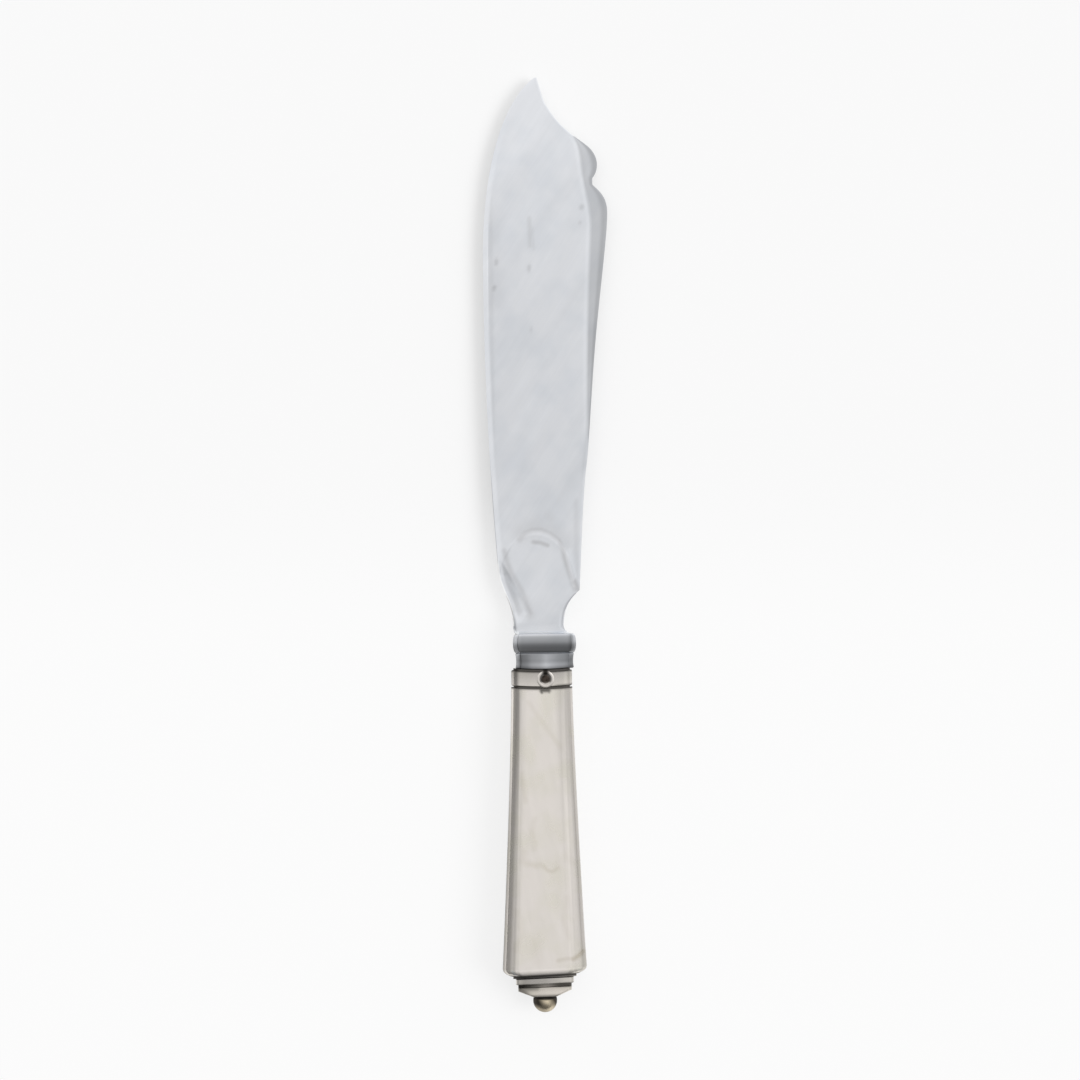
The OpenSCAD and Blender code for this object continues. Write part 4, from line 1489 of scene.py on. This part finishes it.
@dataclass
class HandleEnd:
    """The stepped end: two plates that stand off on thinner feet, and a ball."""

    end_y: float = -88.7
    foot_w: float = 18.2
    large: Size = (16.6, 8.6, 1.55)
    small: Size = (15.4, 7.6, 2.65)
    groove_l: float = 0.8
    groove_d: float = 1.0
    r: float = 1.1
    ease_w: float = 0.16
    cut_l: float = 1.5
    shoulder_w: float = 7.2
    ball_d: float = 6.9
    ball_flat: float = 2.1
    plate_steps: int = 4
    ball_steps: tuple[int, int] = (64, 40)
    # Oxide in the grooves under the plates: how black and how wide it is across the knife
    first_black: Table = ((-8, 0.92), (8, 0.92))
    first_width: Table = ((-8, 1.75), (8, 1.35))
    second_black: Table = ((-7, 1.0), (-4, 0.9), (0, 0.58), (3, 0.76), (5, 0.82))
    second_width: Table = ((-6, 1.8), (-3, 1.5), (1, 1.4), (4, 1.8))
    groove_fade: float = 0.4
    olive: tuple[Stroke, ...] = (
        Stroke(((-7.4, -91.8), (-5.0, -92.0), (-2.4, -91.9)), 1.4, 0.5),
        Stroke(((-6.9, -92.1), (-5.6, -93.3)), 1.6, 0.55),
    )
    # Painted shade on the plates: darker towards the left across both, and on the small plate at
    # the groove and by the ball
    large_tones: Table = ((-8.3, 1.1), (-7.6, 0.62), (-6, 0.47), (0, 0.55), (3.5, 0.66), (6, 0.8))
    small_tones: Table = ((-7, 0.72), (-5, 0.8), (-2.5, 0.9), (0.5, 0.98), (7, 1.04))
    small_tones_down: Table = ((0, 0.76), (0.3, 0.95), (0.55, 1.06), (0.8, 1.0), (1, 0.7))
    small_stain: float = 0.22
    # The ball's painted highlight: its middle, how far it leans as it goes down, and its squash;
    # painted shade grows away from it, less lower down, and lies beside the plate, and the tone
    # brightens the whole ball
    highlight_middle: Share = (0.46, 0.8)
    highlight_lean: float = 0.49
    highlight_squash: float = 0.6
    spot_grime: Table = ((0.3, 0.05), (0.9, 0.3), (1.7, 0.66), (2.4, 0.95))
    spot_grime_down: Table = ((0.9, 1), (2.2, 0.5))
    seat_grime: Table = ((0.7, 1), (1.3, 0))
    ball_stain: float = 0.8
    ball_highlight_tone: float = 1.7

    @property
    def small_y(self) -> float:
        """Station at which the small plate starts."""
        return self.end_y - self.groove_l - self.large[2]

    @property
    def seat_y(self) -> float:
        """Station of the ball's seat."""
        return self.small_y - self.groove_l - self.small[2]

    def plate(self, y: float, foot_w: float, size: Size) -> list[list[Vector]]:
        """Draws a plate with its foot.

        Args:
            y: Station of the foot's front.
            foot_w: Width of the foot.
            size: The plate's width, thickness and length.

        Returns:
            The closed sections, up to where the plate's rear corner is eased.
        """
        w, t, length = size
        thin, e, top = t - 2 * self.groove_d, self.ease_w, y - self.groove_l
        rows = [ring(rounded_line(foot_w, thin, self.r), at) for at in (y, mix(y, top, 0.5), top)]
        rows.append(self.eased(w, t, top))
        face = [top - e - (length - 2 * e) * share for share in stepped(self.plate_steps)]
        return rows + [ring(rounded_line(w, t, self.r), at) for at in face]

    def eased(self, w: float, t: float, y: float) -> list[Vector]:
        """Draws the outer section of a plate's eased corner."""
        e = self.ease_w
        return ring(rounded_line(w - 2 * e, t - 2 * e, self.r - e), y)

    def grime(self, p: Vector) -> float:
        """Works out the oxide in the grooves under the plates.

        Args:
            p: A point of a plate.

        Returns:
            The grime there.
        """
        worst = on_front(self.olive)(p)
        for y, black, width in (
            (self.end_y, self.first_black, self.first_width),
            (self.small_y, self.second_black, self.second_width),
        ):
            away = abs(p.y - y + self.groove_l / 2) / self.groove_fade
            worst = max(worst, along(black, p.x) * ease(along(width, p.x) - away))
        return worst

    def dress_large(self, finishes: Finishes) -> None:
        """Builds the large plate.

        Args:
            finishes: The knife's finishes.
        """
        w, t, _ = self.large
        rows = self.plate(self.end_y, self.foot_w, self.large)
        rows.append(self.eased(w, t, self.small_y))
        finishes.lay(tube(rows), "end_plate_large", "silver", grime=self.grime,
                     tone=lambda p: along(self.large_tones, p.x))

    def small_tone(self, p: Vector) -> float:
        """Returns the small plate's tone: painted shade on the left, at the groove and by the ball.
        """
        down = along(self.small_tones_down, (self.small_y - self.groove_l - p.y) / self.small[2])
        return 1.0 if p.z < 0 else along(self.small_tones, p.x) * down

    def dress_small(self, finishes: Finishes) -> None:
        """Builds the small plate, whose rear corners slope in to the ball.

        Args:
            finishes: The knife's finishes.
        """
        w, t, length = self.small
        upright = (w, t, length - self.cut_l + 2 * self.ease_w)
        rows = self.plate(self.small_y, w, upright)[:-1]
        y = rows[-1][0].y
        for share in stepped(self.plate_steps)[1:]:
            e = self.ease_w if share == 1 else 0.0
            line = rounded_line(mix(w, self.shoulder_w, share), t - 2 * e, self.r - e)
            rows.append(ring(line, mix(y, self.seat_y, share)))
        finishes.lay(tube(rows), "end_plate_small", "silver", grime=self.grime,
                     tone=self.small_tone, stain=self.small_stain)

    def ball_grime(self, p: Vector) -> float:
        """Works out the painted shade on the ball, darkest beside the plate and round the rim,
        round a painted highlight.

        Args:
            p: A point of the ball.

        Returns:
            The painted shade there.
        """
        x, y = self.highlight_middle
        low = self.seat_y - self.ball_d / 2 + self.ball_flat - p.y
        away = math.hypot(p.x - x - self.highlight_lean * low, self.highlight_squash * (low - y))
        rim = along(self.spot_grime, away) * along(self.spot_grime_down, low)
        return max(soft(self.seat_grime, self.seat_y - p.y), rim)

    def dress_ball(self, finishes: Finishes) -> None:
        """Builds the ball: a sphere cut flat where it sits on the small plate.

        Args:
            finishes: The knife's finishes.
        """
        bm = bmesh.new()
        round_steps, height_steps = self.ball_steps
        bmesh.ops.create_uvsphere(bm, u_segments=round_steps, v_segments=height_steps,
                                  radius=self.ball_d / 2)
        bmesh.ops.translate(bm, vec=(0, self.seat_y - self.ball_d / 2 + self.ball_flat, 0),
                            verts=bm.verts)
        bmesh.ops.bisect_plane(bm, geom=bm.verts[:] + bm.edges[:] + bm.faces[:], clear_outer=True,
                               plane_co=(0, self.seat_y, 0), plane_no=(0, 1, 0))
        bmesh.ops.holes_fill(bm, edges=[e for e in bm.edges if e.is_boundary], sides=0)
        # Painted shade round a painted highlight, on the ball's tan colour
        finishes.lay(bm, "end_ball", "silver", grime=self.ball_grime,
                     stain=self.ball_stain, tone=self.ball_highlight_tone)


@dataclass
class Studio:
    """Plain pale floor, soft light and the camera of the photograph."""

    floor_size: float = 3.0
    floor_colour: str = "#f2f2f2"
    seen_colour: str = "#fdfdfd"
    floor_glow: Share = (0.8, 0.53)
    glow_mm: Share = (-30.0, 25.0)
    backdrop: float = 1.19
    zenith: tuple[float, float, float] = (-0.08, 0.1, 1)
    overhead: Table = ((0.0, 0.28), (0.45, 0.44), (0.75, 0.7), (0.9, 0.96), (0.97, 1.1))
    # What a side changes: from one place on its axis to another, then the change at both
    right_light: tuple[float, ...] = (0.1, 0.6, 0, 0.5)
    far_light: tuple[float, ...] = (0.1, 0.8, 0, 0.6)
    near_light: tuple[float, ...] = (-0.85, -0.1, 0.35, 1)
    key_energy: float = 1.5
    key_width: float = 34
    key_turn: tuple[float, float] = (4, 46)
    frame_width_mm: float = 311.85
    lens: float = 120.0
    sensor: float = 36.0
    aim: tuple[float, float] = (-0.06, 36.96)
    aim_height_mm: float = 6.0
    lean: float = 0.618

    def floor(self) -> None:
        """Lays the floor."""
        bm = bmesh.new()
        bmesh.ops.create_grid(bm, x_segments=1, y_segments=1, size=self.floor_size / 2)
        mesh = bpy.data.meshes.new("floor_mesh")
        bm.to_mesh(mesh)
        bm.free()
        floor = bpy.data.objects.new("floor", mesh)
        bpy.context.scene.collection.objects.link(floor)
        material = bpy.data.materials.new("pale_floor")
        tree = empty_tree(material)
        matte = add(tree, "BsdfDiffuse", {"Color": self.floor_colour})[0]
        # Seen by the camera, the floor glows paler than its lamps make it, most of all by the
        # handle:
        # painted light that thins the shadow there
        place = add(tree, "TexCoord")["Object"]
        (low, high), (first, last) = self.floor_glow, self.glow_mm
        glow = add(tree, "MapRange", {
            "Value": add(tree, "SeparateXYZ", {0: place})[1],
            1: first * MM, 2: last * MM, 3: low, 4: high,
        }, interpolation_type="SMOOTHSTEP")[0]
        pale = add(tree, "Emission", {"Color": self.seen_colour, "Strength": 1.0})[0]
        seen = add(tree, "LightPath")["Is Camera Ray"]
        share = add(tree, "Math", {0: seen, 1: glow}, operation="MULTIPLY")[0]
        mixed = add(tree, "MixShader", {0: share, 1: matte, 2: pale})[0]
        add(tree, "OutputMaterial", {0: mixed})
        mesh.materials.append(material)

    def sky(self) -> None:
        """Makes the soft room: bright overhead and to the right, darker round the handle."""
        world = bpy.data.worlds.new("soft_room")
        bpy.context.scene.world = world
        tree = empty_tree(world)
        way = add(tree, "TexCoord")["Generated"]
        up = add(tree, "VectorMath", {0: way, 1: Vector(self.zenith).normalized()},
                 operation="DOT_PRODUCT")["Value"]
        level = add(tree, "ValToRGB", {0: up})[0]
        ramp = level.node.color_ramp
        ramp.elements[0].position, ramp.elements[1].position = 0.0, 1.0
        for stop, light in self.overhead:
            element = ramp.elements.new(stop) if stop else ramp.elements[0]
            element.color = (light, light, light, 1)
        right, forward, _ = add(tree, "SeparateXYZ", {0: way})
        for axis, light, operation in (
            (right, self.right_light, "ADD"), (forward, self.far_light, "ADD"),
            (forward, self.near_light, "MULTIPLY"),
        ):
            change = add(tree, "MapRange", {"Value": axis} | dict(enumerate(light, 1)))[0]
            level = add(tree, "Math", {0: level, 1: change}, operation=operation)[0]
        seen = add(tree, "LightPath")["Is Camera Ray"]
        strength = add(tree, "Mix", {0: seen, 2: level, 3: self.backdrop})[0]
        shader = add(tree, "Background", {"Strength": strength})[0]
        add(tree, "OutputWorld", {0: shader})

    def key(self) -> None:
        """Hangs a wide soft lamp on the right; it shows as light on matte things only."""
        lamp = bpy.data.lights.new("key", "SUN")
        lamp.energy = self.key_energy
        lamp.angle = math.radians(self.key_width)
        holder = bpy.data.objects.new("key", lamp)
        holder.rotation_euler = (*map(math.radians, self.key_turn), 0)
        holder.visible_glossy = False
        bpy.context.scene.collection.objects.link(holder)

    def camera(self) -> None:
        """Sets the camera straight above, at the photograph's lean and scale."""
        data = bpy.data.cameras.new("camera")
        data.sensor_width = self.sensor
        data.lens = self.lens
        camera = bpy.data.objects.new("camera", data)
        x, y = self.aim
        target = REST.matrix() @ Vector((x, y, 0))
        distance = self.lens / self.sensor * self.frame_width_mm * MM
        camera.location = (target.x, target.y, self.aim_height_mm * MM + distance)
        camera.rotation_euler = (0, 0, -math.radians(self.lean))
        bpy.context.scene.collection.objects.link(camera)
        bpy.context.scene.camera = camera

    def build(self) -> None:
        """Builds the whole studio."""
        self.camera()
        self.floor()
        self.sky()
        self.key()
        bpy.context.scene.view_settings.view_transform = "Standard"


@dataclass
class FishKnife:
    """The whole knife."""

    blade: Blade = field(default_factory=Blade)
    collar: Collar = field(default_factory=Collar)
    shells: HandleShells = field(default_factory=HandleShells)
    end: HandleEnd = field(default_factory=HandleEnd)

    def dress(self, finishes: Finishes) -> None:
        """Builds every piece, from the tip to the ball.

        Args:
            finishes: The knife's finishes.
        """
        self.blade.dress(finishes)
        self.collar.dress_band(finishes)
        for side in Side:
            self.collar.dress_ring(side, finishes)
            self.collar.dress_bead(side, finishes)
            self.shells.dress(side, finishes)
        self.end.dress_large(finishes)
        self.end.dress_small(finishes)
        self.end.dress_ball(finishes)
        self.dress_filler(finishes)

    @staticmethod
    def dress_filler(finishes: Finishes) -> None:
        """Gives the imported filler, which has its final shape, its cement.

        Args:
            finishes: The knife's finishes.
        """
        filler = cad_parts["handle_filler"]
        filler.data.materials.clear()
        filler.data.materials.append(finishes.by_slot["cement"])
        log.info("%s keeps its shape and takes its cement", filler.name)


def main() -> None:
    """Builds the studio and the knife."""
    logging.basicConfig(level=logging.INFO, format="%(name)s: %(message)s")
    Studio().build()
    FishKnife().dress(Finishes())


if __name__ == "__main__":
    main()
